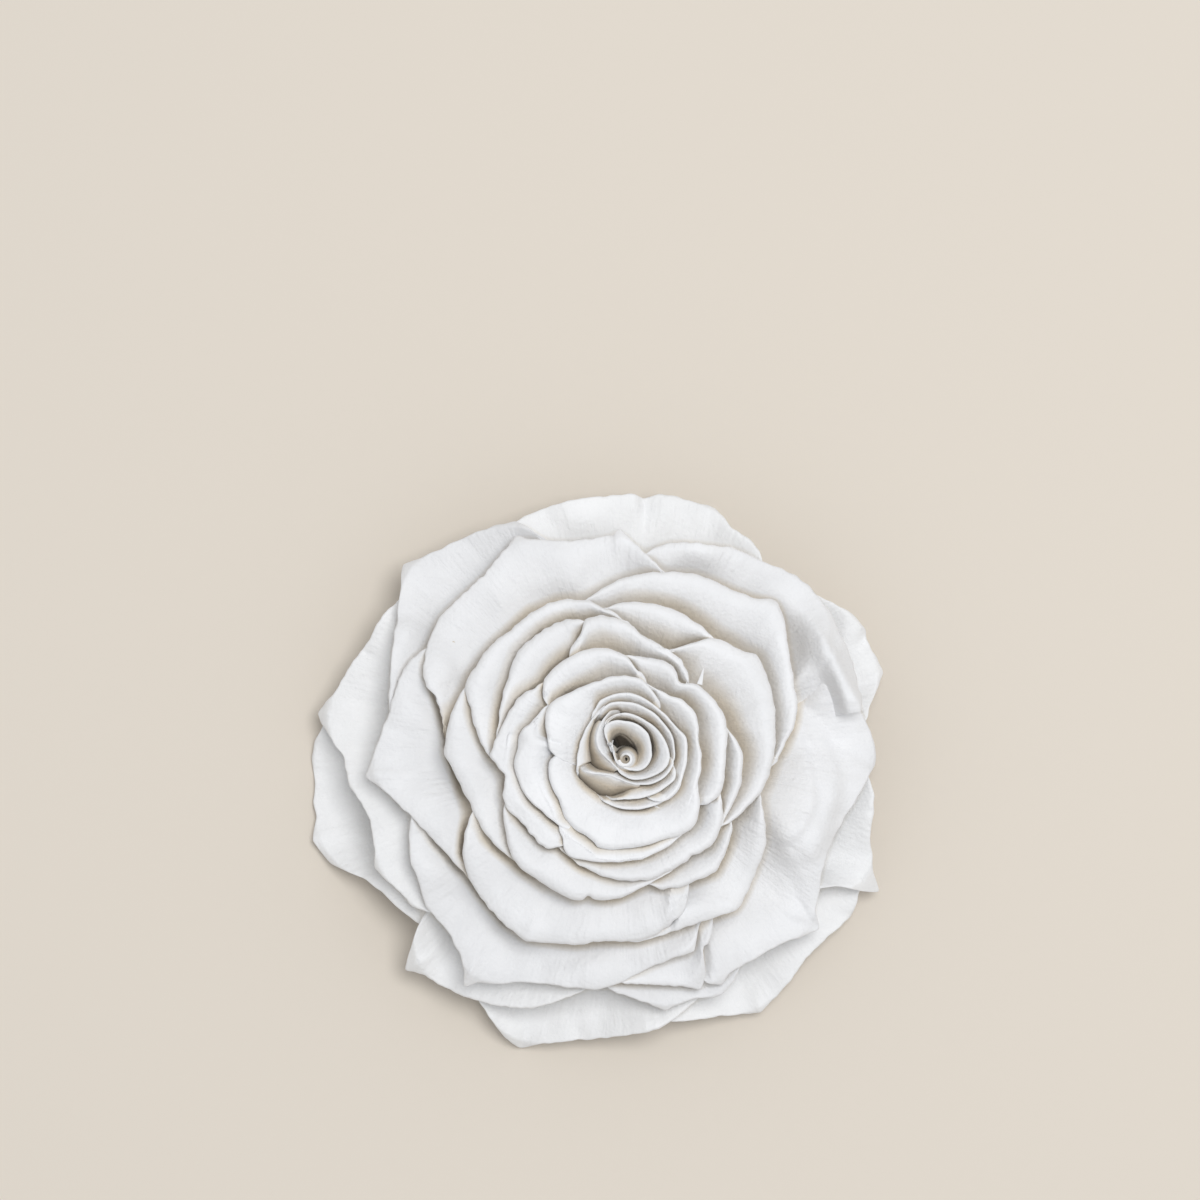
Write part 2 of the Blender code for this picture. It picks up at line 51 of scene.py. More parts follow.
# Every petal: its layer, counted outwards from the heart, and its rim as seen from above, in points of
# (bearing, reach). Bearings are in degrees from +X towards +Y, and all lengths are in millimetres.
RIMS = {
    "heart_wrap": (1.5, (
        (128, 3.2), (136, 2.9), (146, 2.4), (157, 1.95), (180, 1.6), (209, 1.55), (240, 1.5),
        (262, 1.4))),
    "heart_curl": (2, (
        (-135, 1.5), (-100, 1.6), (-79, 1.9), (-60, 2.3), (-45, 2.9), (-28, 3.4), (-12, 3.7), (0, 3.9),
        (15, 4.05), (31, 4.4), (45, 4.8), (60, 5.0), (75, 5.2), (90, 5.3), (100, 5.5), (111, 5.6),
        (120, 5.5))),
    "heart_fold": (3, (
        (96, 7.1), (103, 7.2), (109, 7.1), (115, 6.7), (123, 6.3), (131, 5.95), (138, 5.6), (149, 5.05),
        (157, 4.55), (165, 4.05), (173, 3.5), (180, 3.0), (192, 2.5), (205, 2.2), (222, 2.1), (240, 2.2),
        (253, 2.5), (267, 2.85), (285, 3.4), (304, 4.0), (318, 4.6), (329, 5.2), (340, 5.9), (350, 6.4),
        (360, 6.6), (371, 6.5), (390, 6.3), (405, 6.2), (419, 6.15), (435, 6.3), (450, 6.5), (462, 6.4),
        (474, 6.0))),
    "heart_lower": (4, (
        (190, 6.8), (194, 6.85), (199, 6.4), (206, 5.5), (214, 4.55), (224, 3.9), (232, 3.55), (245, 3.4),
        (257, 3.45), (270, 3.65), (285, 4.1), (299, 4.7), (310, 5.3), (321, 5.9), (332, 6.5), (341, 6.9),
        (352, 7.2))),
    "heart_south": (5, (
        (244, 6.6), (252, 6.6), (260, 6.4), (270, 6.2), (283, 6.3), (300, 6.7), (320, 7.3), (335, 8.0),
        (342, 7.9))),
    "heart_east": (5, (
        (-16, 6.9), (-8, 7.1), (0, 7.3), (9, 7.4), (19, 7.6), (32, 7.6), (46, 7.6), (60, 7.8), (72, 7.9),
        (86, 8.1), (95, 8.2), (106, 8.2), (114, 7.9), (124, 7.4), (132, 7.0))),
    "heart_outer": (5.5, (
        (112, 8.0), (130, 7.4), (150, 7.0), (170, 6.9), (185, 7.1), (196, 7.4), (206, 7.45))),
    "throat_north_east": (6, (
        (-45, 8.9), (-32, 9.1), (-17, 9.0), (0, 9.1), (10, 9.4), (18, 9.4), (27, 8.9), (39, 8.6),
        (52, 8.6), (70, 9.0), (86, 9.5), (96, 9.4), (114, 9.1), (122, 8.3))),
    "throat_south_inner": (7, (
        (232, 7.2), (250, 7.3), (263, 7.6), (278, 7.8), (294, 8.2), (310, 8.6), (324, 9.1), (333, 9.0))),
    "throat_north": (7, (
        (62, 9.9), (73, 11.2), (79, 11.7), (90, 12.0), (105, 11.9), (116, 11.9), (126, 12.3), (136, 12.8),
        (144, 13.6), (150, 13.4), (158, 12.6), (168, 11.6))),
    "throat_south": (8, (
        (172, 9.0), (176, 9.7), (182, 11.0), (188, 11.4), (195, 11.6), (204, 11.6), (212, 11.6),
        (220, 12.0), (226, 12.7), (234, 12.9), (243, 12.9), (250, 13.3), (253, 13.9), (259, 13.8),
        (270, 13.5), (277, 13.3), (285, 13.4), (292, 13.3), (298, 13.5), (304, 14.1), (312, 14.4),
        (319, 14.1), (326, 13.3), (334, 12.0))),
    "throat_east": (8, (
        (-43, 11.8), (-33, 11.7), (-20, 11.4), (-10, 11.3), (0, 11.3), (6, 11.1), (17, 11.2), (23, 11.8),
        (29, 12.1), (36, 12.2), (45, 11.9), (54, 11.2), (63, 11.0), (73, 11.2), (80, 10.6))),
    "throat_west": (9, (
        (134, 12.4), (138, 13.0), (146, 13.7), (154, 14.3), (161, 14.8), (164, 15.6), (169, 15.9),
        (176, 15.9), (184, 16.4), (189, 16.3), (196, 15.9), (202, 15.7), (206, 15.3), (214, 14.5),
        (222, 14.2), (228, 13.9), (235, 13.2))),
    "throat_low": (9, (
        (232, 14.9), (236, 16.2), (240, 16.7), (244, 16.7), (249, 16.2), (257, 15.9), (263, 15.6),
        (270, 15.3), (276, 15.2), (287, 14.9), (298, 14.5), (306, 14.2))),
    "inner_north_west": (9, (
        (82, 12.9), (86, 14.0), (90, 15.0), (95, 15.7), (99, 16.2), (107, 16.8), (118, 16.9), (130, 16.8),
        (136, 16.5), (142, 15.5), (145, 14.6), (147, 12.9))),
    "inner_north_east": (10, (
        (-27, 14.4), (-21, 15.1), (-15, 15.1), (-6, 14.8), (0, 14.9), (9, 15.2), (15, 15.7), (23, 15.9),
        (34, 15.6), (42, 15.3), (48, 14.7), (51, 13.9), (55, 13.7), (58, 14.5), (62, 15.1), (67, 15.4),
        (78, 15.0), (86, 15.0), (91, 15.0), (98, 15.9), (105, 15.5), (110, 14.6))),
    "inner_west": (10, (
        (131, 15.4), (136, 16.1), (144, 17.0), (149, 17.8), (158, 18.4), (165, 18.6), (172, 19.3),
        (180, 19.9), (184, 18.9), (188, 18.0), (191, 17.9), (197, 18.9), (203, 19.1), (212, 18.0),
        (222, 17.9), (229, 17.9), (234, 16.4), (237, 15.2))),
    "inner_north": (11, (
        (47, 13.6), (52, 15.3), (60, 16.6), (70, 17.2), (76, 17.6), (82, 18.2), (86, 19.2), (90, 20.1),
        (95, 20.8), (100, 21.3), (106, 21.4), (109, 19.6), (113, 18.6))),
    "inner_south": (11, (
        (227, 16.0), (233, 16.5), (240, 16.8), (246, 17.2), (253, 17.5), (258, 17.8), (264, 18.1),
        (277, 18.4), (283, 18.5), (291, 18.0), (301, 17.9), (304, 17.5), (308, 18.0), (315, 18.3),
        (320, 17.9), (324, 17.6), (331, 16.6), (337, 15.4))),
    "cup_north_west": (12, (
        (100, 18.6), (105, 20.6), (109, 21.6), (112, 22.1), (118, 22.4), (130, 22.4), (136, 22.3),
        (141, 21.6), (147, 20.8), (152, 20.4), (158, 19.9), (164, 19.4), (173, 19.2), (179, 18.6),
        (186, 17.6))),
    "cup_south_west": (12, (
        (196, 18.2), (200, 18.8), (204, 19.7), (213, 21.0), (221, 22.3), (227, 22.6), (234, 22.3),
        (242, 22.4), (250, 22.5), (253.5, 22.2), (255, 21.0), (257, 21.6), (262, 21.4), (268, 20.9),
        (274, 19.9), (283, 18.8), (291, 18.3), (298, 17.5), (305, 16.6))),
    "inner_east": (12, (
        (-46, 17.0), (-36, 17.6), (-27, 17.2), (-19, 17.6), (-7, 17.5), (0, 17.5), (8, 16.8), (15, 15.8),
        (21, 14.8), (27, 13.6))),
    "cup_east": (13, (
        (-43, 16.6), (-36, 17.6), (-28, 18.9), (-20, 19.9), (-14, 21.0), (-5, 21.7), (3, 22.3),
        (11, 22.8), (21, 23.7), (29, 24.3), (34, 24.7), (38, 24.9), (42, 23.5), (47, 23.0), (54, 22.0),
        (59, 19.8), (62, 18.7), (67, 17.2), (72, 16.0))),
    "outer_cup_north_west": (13, (
        (91, 20.4), (94, 21.5), (98, 22.3), (104, 24.1), (108, 24.6), (112, 25.3), (116, 25.5),
        (123, 25.6), (132, 25.4), (140, 26.0), (149, 26.0), (156, 26.2), (162, 24.2), (172, 22.0),
        (178, 20.6), (184, 18.8))),
    "outer_cup_west": (14, (
        (149, 25.2), (157, 26.1), (166, 26.7), (175, 26.9), (179, 27.0), (185, 25.5), (196, 24.1),
        (208, 23.7), (214, 23.3), (222, 22.6), (230, 21.6))),
    "outer_cup_north": (14, (
        (42, 19.8), (47, 21.0), (54, 22.2), (61, 22.6), (72, 23.2), (82, 23.2), (90, 23.1), (98, 22.3),
        (104, 22.1), (110, 21.0))),
    "cup_south_east": (14, (
        (281, 19.2), (285, 20.3), (294, 21.0), (303, 21.3), (308, 21.8), (317, 20.5), (325, 19.4),
        (332, 17.6))),
    "outer_cup_south_west": (15, (
        (195, 21.8), (198, 23.4), (203, 25.5), (210, 28.0), (216, 29.3), (223, 30.0), (234, 30.8),
        (242, 31.2), (245, 30.5), (250, 29.6), (256, 28.9), (262, 27.7), (268, 27.5), (274, 27.5),
        (280, 26.9), (287, 25.4))),
    "outer_cup_north_east": (15, (
        (0, 22.9), (5, 24.0), (10, 25.6), (16, 26.9), (23, 27.5), (30, 28.6), (36, 30.0), (41, 31.7),
        (45, 32.6), (47, 32.4), (51, 30.7), (57, 29.8), (69, 29.4), (75, 28.7), (86, 27.4), (92, 26.5),
        (98, 25.3), (104, 24.1), (109, 22.8))),
    "outer_cup_south_east": (16, (
        (258, 26.0), (264, 27.0), (268, 27.3), (274, 27.7), (279, 27.3), (287, 26.9), (294, 27.0),
        (302, 27.7), (306, 28.4), (309, 27.9), (313, 27.1), (319, 26.0), (324, 25.3), (328, 24.8),
        (339, 22.0), (345, 20.8), (352, 20.6))),
    "north": (16.5, (
        (72, 26.8), (78, 28.3), (84, 30.6), (89, 33.0), (91.3, 34.6), (93, 33.5), (98, 33.3), (104, 33.5),
        (109, 34.5), (114, 36.0), (116.3, 37.2), (119, 36.4), (122, 35.7), (128, 34.6), (136, 34.6),
        (143, 35.0), (147, 34.6), (152, 33.9), (157, 32.9), (160.5, 31.7), (162, 29.8), (167, 28.2),
        (175, 26.6), (180, 25.4))),
    "west": (17, (
        (146, 31.9), (151, 34.0), (156, 35.6), (160, 36.0), (169, 36.1), (175, 37.0), (182, 38.5),
        (184.3, 39.4), (187, 37.1), (191, 35.1), (196, 33.1), (201, 31.8), (207, 30.6), (212, 30.0),
        (217, 29.6), (223, 29.4), (229, 28.6))),
    "north_east": (17.5, (
        (11.0, 36.2), (13, 36.9), (16, 36.8), (25, 37.5), (30, 37.5), (35, 38.1), (42, 38.2), (46, 38.0),
        (49, 37.4), (55, 36.2), (63, 35.6), (66, 34.8), (70, 34.2), (74, 33.7), (78, 33.0), (82, 31.9),
        (86, 29.6), (90, 28.6))),
    "south": (18, (
        (192, 31.4), (195, 33.2), (200, 34.6), (206, 35.9), (211, 36.2), (217, 37.6), (222, 37.4),
        (226, 37.7), (230, 38.8), (233, 40.3), (235, 42.5), (237, 40.6), (241, 39.2), (245, 37.4),
        (251, 36.1), (258, 35.5), (264, 35.1), (269, 33.9), (276, 31.9), (284, 30.9), (289.5, 31.0),
        (291, 29.6), (294, 27.4))),
    "north_west": (18, (
        (110, 34.6), (113, 38.0), (115, 39.5), (119, 40.3), (125, 41.3), (131, 42.3), (136, 43.6),
        (139, 45.0), (143, 42.8), (146, 41.5), (150, 40.0), (156, 38.6), (162, 37.3), (167, 36.6),
        (172, 35.4), (176, 34.0))),
    "south_small": (19, (
        (261, 32.6), (264, 33.2), (270, 34.1), (276, 34.4), (284, 35.6), (288, 37.0), (290.5, 34.8),
        (292, 31.0))),
    "south_east": (20, (
        (287, 33.0), (290, 36.5), (293, 37.4), (296, 36.2), (300, 36.2), (305, 36.4), (309, 36.7),
        (312, 37.4), (316, 38.7), (318.5, 39.6), (321, 37.1), (325, 35.9), (329, 34.6), (335, 33.8),
        (340, 33.9), (345, 34.6), (350, 35.8), (355, 37.0), (358.4, 38.2), (362, 38.2), (366, 37.6),
        (370, 36.7), (376, 35.2), (381, 33.6), (386, 32.5), (391, 30.5))),
    "guard_west": (20, (
        (138, 39.8), (142, 41.6), (145, 42.0), (150, 42.9), (156, 43.0), (161, 44.2), (167, 45.4),
        (172, 47.8), (175, 46.0), (180, 42.9), (186, 42.2), (190, 40.6), (194, 39.8), (200, 40.4),
        (204, 41.6), (211, 39.7), (215, 39.4), (218, 38.0), (221, 35.8))),
    "guard_north": (20, (
        (52, 33.0), (55, 36.6), (59, 38.1), (65, 38.5), (70, 40.5), (76, 40.4), (80, 40.7), (84, 40.3),
        (86, 39.5), (88, 40.3), (90, 40.1), (94, 39.9), (100, 40.0), (106, 39.9), (112, 39.8),
        (116, 39.4), (119, 38.2), (122, 36.0))),
    "south_low": (21, (
        (261, 32.0), (266, 35.1), (274, 37.0), (279, 38.9), (285, 38.0), (292, 39.0), (296, 37.7),
        (299, 36.0))),
    "guard_south_west": (21, (
        (217, 35.0), (219, 40.3), (224, 46.9), (227, 45.4), (231, 44.9), (236, 44.1), (243, 42.5),
        (250, 40.6), (254, 38.6), (260, 35.8), (264, 32.6))),
    "guard_north_east": (21, (
        (7, 36.0), (9, 37.3), (12, 38.3), (15, 39.9), (18, 41.8), (23, 41.4), (26, 41.2), (28, 41.8),
        (32, 41.2), (37, 39.4), (40, 38.3), (45, 37.2), (51, 34.8))),
    "guard_east": (22, (
        (-41, 34.0), (-35, 34.8), (-31, 38.1), (-29.5, 41.9), (-28, 44.4), (-25, 42.0), (-18, 39.3),
        (-9, 38.5), (-5, 37.4), (-1, 35.8), (4, 34.4))),
    "guard_far_west": (23, (
        (168, 43.6), (173, 46.4), (177, 48.0), (180, 48.5), (185, 48.1), (188, 48.7), (191, 48.6),
        (195, 50.0), (200, 48.3), (202, 46.5), (205, 44.1), (209, 42.5), (214, 41.5), (219, 40.4),
        (226, 37.4))),
    "guard_south": (23, (
        (231, 40.4), (236, 42.2), (243, 45.2), (247, 47.0), (250, 47.8), (254, 45.8), (260, 44.1),
        (268, 42.8), (277, 41.8), (280, 40.8), (285, 39.0), (290, 37.0))),
    "guard_south_east": (25, (
        (274, 36.8), (277, 38.4), (279, 41.0), (284, 41.6), (290, 42.3), (296, 43.9), (298, 44.5),
        (300, 44.0), (306, 42.8), (312, 41.5), (318, 41.6), (325, 42.6), (328, 42.1), (332, 41.2),
        (337, 38.4), (341, 35.6))),
}
# Pockets that no petal covers, seen between two petals of the heart: the layer that each lies outside,
# and how far it reaches. The back of the petal inside a pocket shows as its slope.
POCKETS = {
    "bud_hole": (1, (
        (-40, 1.5), (-12, 2.1), (28, 2.3), (50, 2.6), (70, 3.0), (90, 3.6), (105, 4.0), (125, 3.7),
        (140, 3.0), (155, 2.2))),
    "heart_fold": (3.5, (
        (124, 6.6), (134, 6.6), (148, 6.1), (162, 5.75), (177, 5.5), (190, 5.4), (203, 4.9), (214, 3.85),
        (226, 3.2), (240, 2.6))),
    "heart_lower": (4.5, (
        (190, 6.9), (199, 7.4), (212, 7.4), (223, 7.2), (238, 7.0), (250, 6.6), (262, 5.9), (279, 5.0),
        (298, 4.8))),
}
# Gaps that stand open between two petals: the points along each as (x, y), and how wide it opens
GAPS = (
    (((0.0, 5.1), (2.2, 4.2), (3.3, 3.5), (4.8, 0.9)), 0.5),
    (((-2.6, 5.6), (-0.3, 6.6)), 0.35),
    (((3.6, 6.1), (5.6, 4.8)), 0.25),
    (((6.8, 5.0), (8.0, 2.4), (7.7, 0.0)), 0.35),
    (((1.3, -5.9), (7.4, -3.4)), 0.18),
    (((-1.0, -7.3), (3.4, -7.5)), 0.4),
    (((-9.3, 8.9), (-2.4, 13.8)), 0.6),
    (((-14.2, -6.5), (-9.8, -10.0)), 0.5),
    (((-11.4, -11.3), (-9.8, -11.9)), 0.5),
    (((-8.4, -12.8), (-4.5, -13.7)), 0.4),
    (((-3.9, 19.0), (0.9, 16.0)), 0.5),
    (((11.1, 13.0), (16.9, 4.2)), 0.5),
    (((-21.8, -1.2), (-18.2, -4.2)), 0.7),
    (((-21.9, -11.6), (-11.7, -20.4)), 0.8),
    (((-15.9, -8.9), (-5.6, -17.2)), 0.5),
    (((-28.7, 10.0), (-26.3, 2.6), (-24.5, -6.5), (-24.2, -15.0)), 1.2),
    (((-29.3, -12.5), (-24.3, -17.7), (-17.3, -25.2)), 1.0),
    (((-24.2, 11.4), (-14.0, 23.1)), 0.6),
    (((-19.5, 3.6), (-11.7, 19.8)), 0.5),
    (((-17.7, 5.9), (-8.4, 15.2)), 0.5),
)

# Tables of every half layer's surface: bins round the bloom, and rings that lie closer together at its
# heart
BINS = 720
RINGS = 400
FARTHEST = 52.0
RING_POWER = 1.5
INSIDE_TABLE = 0.999
bin_bearings = np.arange(BINS) * 360.0 / BINS
ring_reaches = FARTHEST * (np.arange(RINGS + 1) / RINGS) ** RING_POWER
level_reaches = []
level_heights = []
# Values that change from the heart outwards are listed for these reaches
AT_REACH = (0.0, 5.0, 8.0, 12.0, 20.0, 30.0, 40.0, 50.0)
# A rim's corners are softened by averaging it at these shares of a small angle to both sides
CORNER_SHARES = (-1.0, -0.5, 0.0, 0.5, 1.0)
CORNER_SOFTNESS = 0.9


def by_reach(values, reach):
    """A value that changes from the heart outwards, at reaches."""
    return np.interp(reach, AT_REACH, values)


def soft_step(low, high, value):
    """0 up to low, 1 from high on, and a smooth rise between them."""
    share = np.clip((value - low) / (high - low), 0.0, 1.0)
    return share * share * (3.0 - 2.0 * share)


def rounded(share):
    """A quarter of an ellipse: flat at first, then steeper and steeper."""
    return 1.0 - np.sqrt(1.0 - np.clip(share, 0.0, 1.0) ** 2)


def kept_above(low, softness, height):
    """Heights kept above a low limit, with a soft bend where they come near it."""
    over = height - low
    return low + 0.5 * (over + np.hypot(over, softness))


def smoothed(reaches, half_width):
    """Reaches round the bloom, averaged over a number of bins to each side."""
    kernel = np.hanning(2 * half_width + 1)
    wide = np.concatenate((reaches[-half_width:], reaches, reaches[:half_width]))
    return np.convolve(wide, kernel / kernel.sum(), mode="valid")


def reach_of(rim, bearing, softness=CORNER_SOFTNESS):
    """Reach of a rim at bearings, with the corners between its points softened a little."""
    points = np.array(rim, float)
    total = 0.0
    for share in CORNER_SHARES:
        total = total + np.interp(bearing + softness * share, points[:, 0], points[:, 1])
    return total / len(CORNER_SHARES)


# A petal whose start melts into the sheet outside it: the bearings between which it comes clear, and the
# reach that it counts for before them
MELTS = {"north_east": (10.0, 36.0, 25.0)}
LEAST_REACH = 1.3
REACH_SMOOTHING = 7


def envelope_of(level):
    """How far the petals up to this level reach, round the bloom, without steps."""
    far = np.full(BINS, LEAST_REACH)
    for name, (layer, rim) in list(RIMS.items()) + list(POCKETS.items()):
        first, last = rim[0][0], rim[-1][0]
        for turn in (-360.0, 0.0, 360.0):
            bearing = bin_bearings + turn
            spans = (bearing >= first) & (bearing <= last) & (layer <= level)
            reach = reach_of(rim, bearing)
            if name in MELTS:
                melt_from, melt_to, melt_reach = MELTS[name]
                reach = melt_reach + (reach - melt_reach) * soft_step(melt_from, melt_to, bearing)
            far = np.where(spans, np.maximum(far, reach), far)
    return smoothed(far, REACH_SMOOTHING)


# The dome that the open bloom follows. It leans, because the petals grew further out on one side, bends
# down past its shoulder, and has a bowl in its heart
CROWN_TOP = 50.5
CROWN_FALL = 18.5
CROWN_RADIUS = 43.0
LEAN_X = -2.0
LEAN_Y = -1.0
SHOULDER = 34.0
SHOULDER_BEND = 0.035
BOWL_DEPTH = 7.8
BOWL_RADIUS = 9.0


def crown(x, y):
    """Height of the dome over points."""
    lean = np.hypot(x - LEAN_X, y - LEAN_Y)
    bend = SHOULDER_BEND * np.maximum(0.0, lean - SHOULDER) ** 2
    fall = CROWN_FALL * (lean / CROWN_RADIUS) ** 2 + bend
    return CROWN_TOP - fall - BOWL_DEPTH * np.exp(-((x * x + y * y) / BOWL_RADIUS ** 2))


GAP_BLUR = 1.3
GAP_ENDS = (0.08, 0.92)


def gap_opening(x, y):
    """How wide the open gaps are over points, fading to both sides of each."""
    opening = np.zeros(np.broadcast(x, y).shape)
    for line, wide in GAPS:
        for (x0, y0), (x1, y1) in zip(line, line[1:]):
            along = ((x - x0) * (x1 - x0) + (y - y0) * (y1 - y0)) / ((x1 - x0) ** 2 + (y1 - y0) ** 2)
            share = np.clip(along, *GAP_ENDS)
            away = np.hypot(x - x0 - share * (x1 - x0), y - y0 - share * (y1 - y0))
            opening = np.maximum(opening, wide * np.exp(-((away / GAP_BLUR) ** 2)))
    return opening


# How far apart whole layers lie, and the least room between two half layers
LAYER_PITCH = 0.99
HALF_LAYER_ROOM = 0.4
# A petal's cup, from its rim in to the petals inside it: how steeply it sinks, how deep it gets, and the
# side of the bloom whose petals are cupped more
CUP_SLOPE = (1.3, 1.0, 0.8, 0.85, 0.85, 0.5, 0.3, 0.2)
CUP_DEEPEST = (3.0, 2.4, 2.4, 3.4, 4.2, 2.6, 1.8, 1.2)
CUP_SIDE = 35.0
CUP_SIDE_GAIN = 0.55
CUP_SIDE_FROM = (7.0, 12.0)
NARROWEST_BAND = 0.8
# The roll of its rim: how far it bends down for its band's width, in which share of the band, and how
# far past the rim the surface goes on rolling
ROLL_SHARE = (0.08, 0.1, 0.13, 0.16, 0.16, 0.1, 0.04, 0.02)
ROLL_BAND = 0.3
ROLL_PAST_RIM = 1.6
# The fold where it goes in under the next petal: how far outside that one's rim it starts, its width and
# depth, and how much deeper an open gap makes it for its width
FOLD_START = (0.05, 0.06, 0.08, 0.12, 0.2, 0.2, 0.15, 0.1)
FOLD_WIDTH = (0.5, 0.6, 0.8, 1.2, 1.6, 1.6, 1.2, 1.0)
FOLD_DEPTH = (1.6, 1.6, 1.8, 2.0, 2.0, 1.2, 0.7, 0.4)
GAP_DEPTH = (5.0, 5.0, 5.0, 4.0, 2.2, 1.7, 1.7, 1.7)
# The side of the heart that opens in deep pockets: its bearings and how they fade, how far out it goes
# and from which level, the share of the cup left out there, and how much deeper its folds are
POCKET_SIDE = (112.0, 318.0)
POCKET_FADE = 30.0
POCKET_REACH = 9.0
POCKET_LEVEL = 4.0
POCKET_FLATTER = 0.8
POCKET_FOLD = 3.6
# How much of the dome's fall a petal leaves out between its fold and its rim, so that it lies flatter
# than the dome, and over how many bins its rim is averaged for this
LEVELLING = (0.0, 0.0, 0.0, 0.2, 0.45, 0.7, 0.85, 0.85)
LEVELLING_SMOOTHING = 22


def open_levels(last):
    """Works out the surface of every half layer up to the last, each clear of the one above it."""
    turn = np.radians(bin_bearings)[:, None]
    reach = ring_reaches[None, :]
    pocket_from, pocket_to = POCKET_SIDE
    side = soft_step(0.0, POCKET_FADE, bin_bearings - pocket_from)
    side = (side * soft_step(0.0, POCKET_FADE, pocket_to - bin_bearings))[:, None]
    dome = crown(reach * np.cos(turn), reach * np.sin(turn))
    opening = gap_opening(reach * np.cos(turn), reach * np.sin(turn))
    cupped = 1.0 + CUP_SIDE_GAIN * np.cos(turn - math.radians(CUP_SIDE)) * soft_step(*CUP_SIDE_FROM, reach)
    while len(level_reaches) <= 2 * last:
        level = len(level_reaches) / 2.0
        own = envelope_of(level)
        inside = level_reaches[-1] if level_reaches else own
        level_reaches.append(own)
        even_rim = smoothed(own, LEVELLING_SMOOTHING)[:, None]
        own = own[:, None]
        inside = inside[:, None]
        band = np.maximum(own - inside, NARROWEST_BAND)
        deepest = cupped * by_reach(CUP_DEEPEST, reach)
        slope = cupped * by_reach(CUP_SLOPE, reach)
        depth = deepest * (1.0 - np.exp(-slope * band / deepest))
        if level > POCKET_LEVEL:
            depth = np.where(inside < POCKET_REACH, (1.0 - POCKET_FLATTER * side) * depth, depth)
        cup = depth * np.clip((own - reach) / band, 0.0, 1.0) ** 2
        near_rim = np.clip(1.0 - (own - reach) / (ROLL_BAND * band), 0.0, 1.0) ** 2
        roll = band * by_reach(ROLL_SHARE, reach) * near_rim
        roll = np.where(reach <= own + ROLL_PAST_RIM, roll, 0.0)
        start = by_reach(FOLD_START, reach) + opening
        deep = by_reach(FOLD_DEPTH, reach) + by_reach(GAP_DEPTH, reach) * opening
        deep = deep + POCKET_FOLD * side * (inside < POCKET_REACH)
        fold = deep * rounded((inside + start - reach) / by_reach(FOLD_WIDTH, reach))
        shown = np.maximum(reach, inside)
        fall = crown(shown * np.cos(turn), shown * np.sin(turn))
        fall = np.maximum(fall - crown(even_rim * np.cos(turn), even_rim * np.sin(turn)), 0.0)
        height = dome - LAYER_PITCH * (level - 1.0) - cup - roll - fold - by_reach(LEVELLING, reach) * fall
        if level_heights:
            height = np.minimum(height, level_heights[-1] - HALF_LAYER_ROOM)
        level_heights.append(height)


def table_place(bearing, reach):
    """The bins and the ring of the tables beside a bearing and a reach, and the shares between them."""
    place = (np.asarray(bearing, float) % 360.0) * BINS / 360.0
    low = np.floor(place).astype(int) % BINS
    ring = RINGS * (np.clip(reach, 0.0, FARTHEST * INSIDE_TABLE) / FARTHEST) ** (1.0 / RING_POWER)
    near = np.minimum(np.floor(ring).astype(int), RINGS - 1)
    return low, (low + 1) % BINS, place - np.floor(place), near, ring - near


TABLE_CLEARANCE = 0.7
TABLE_SOFTNESS = 1.2


def surface(layer, bearing, reach):
    """Height of a layer, kept softly off the table that the head rests on."""
    low, high, across, near, out = table_place(bearing, reach)
    table = level_heights[int(round(2.0 * layer))]
    inner = table[low, near] * (1.0 - across) + table[high, near] * across
    outer = table[low, near + 1] * (1.0 - across) + table[high, near + 1] * across
    return kept_above(TABLE_CLEARANCE, TABLE_SOFTNESS, inner * (1.0 - out) + outer * out)


def reach_at(level, bearing):
    """How far the petals up to a level reach at a bearing."""
    low, high, across, near, out = table_place(bearing, 0.0)
    table = level_reaches[int(round(2.0 * level))]
    return table[low] * (1.0 - across) + table[high] * across


# Petals whose first or last end sinks under its neighbours: how deep, and over how many degrees
SUNK_STARTS = {"heart_fold": (3.9, 34.0), "heart_lower": (3.0, 12.0), "heart_south": (3.0, 16.0),
               "heart_wrap": (1.6, 22.0), "throat_south_inner": (3.0, 14.0), "north_east": (0.5, 3.0)}
SUNK_ENDS = {"heart_outer": (3.0, 14.0), "heart_east": (2.6, 14.0)}
# Any other end runs on in a quarter wave until it lies this far inside the rims that cover it
END_INSET = 1.6
END_LEAST_REACH = 0.6
END_SHARES = (0.25, 0.5, 0.75, 1.0)
END_SHORTEST = 1.6
END_LENGTH = 0.9
END_LONGEST_TURN = 30.0
END_LEAST_RADIUS = 2.0
END_TRIES = 4


def tapered(name):
    """The rim with an end added on each side, unless it is a sunk one, to dive under the petals inside."""
    layer, rim = RIMS[name]
    ends = []
    for way, (bearing, reach) in ((-1, rim[0]), (1, rim[-1])):
        if name in (SUNK_STARTS if way < 0 else SUNK_ENDS):
            ends.append(())
            continue
        beyond = bearing
        for n in range(END_TRIES):
            covered = min(reach, float(reach_at(layer - 0.5, beyond)))
            target = max(END_LEAST_REACH, covered - END_INSET)
            length = max(END_SHORTEST, END_LENGTH * (reach - target)) / max(reach, END_LEAST_RADIUS)
            beyond = bearing + way * min(END_LONGEST_TURN, math.degrees(length))
        curve = []
        for share in END_SHARES:
            inwards = math.cos(share * math.pi / 2.0)
            curve.append((bearing + (beyond - bearing) * share, target + (reach - target) * inwards))
        ends.append(curve if way > 0 else curve[::-1])
    return tuple(ends[0]) + tuple(rim) + tuple(ends[1])


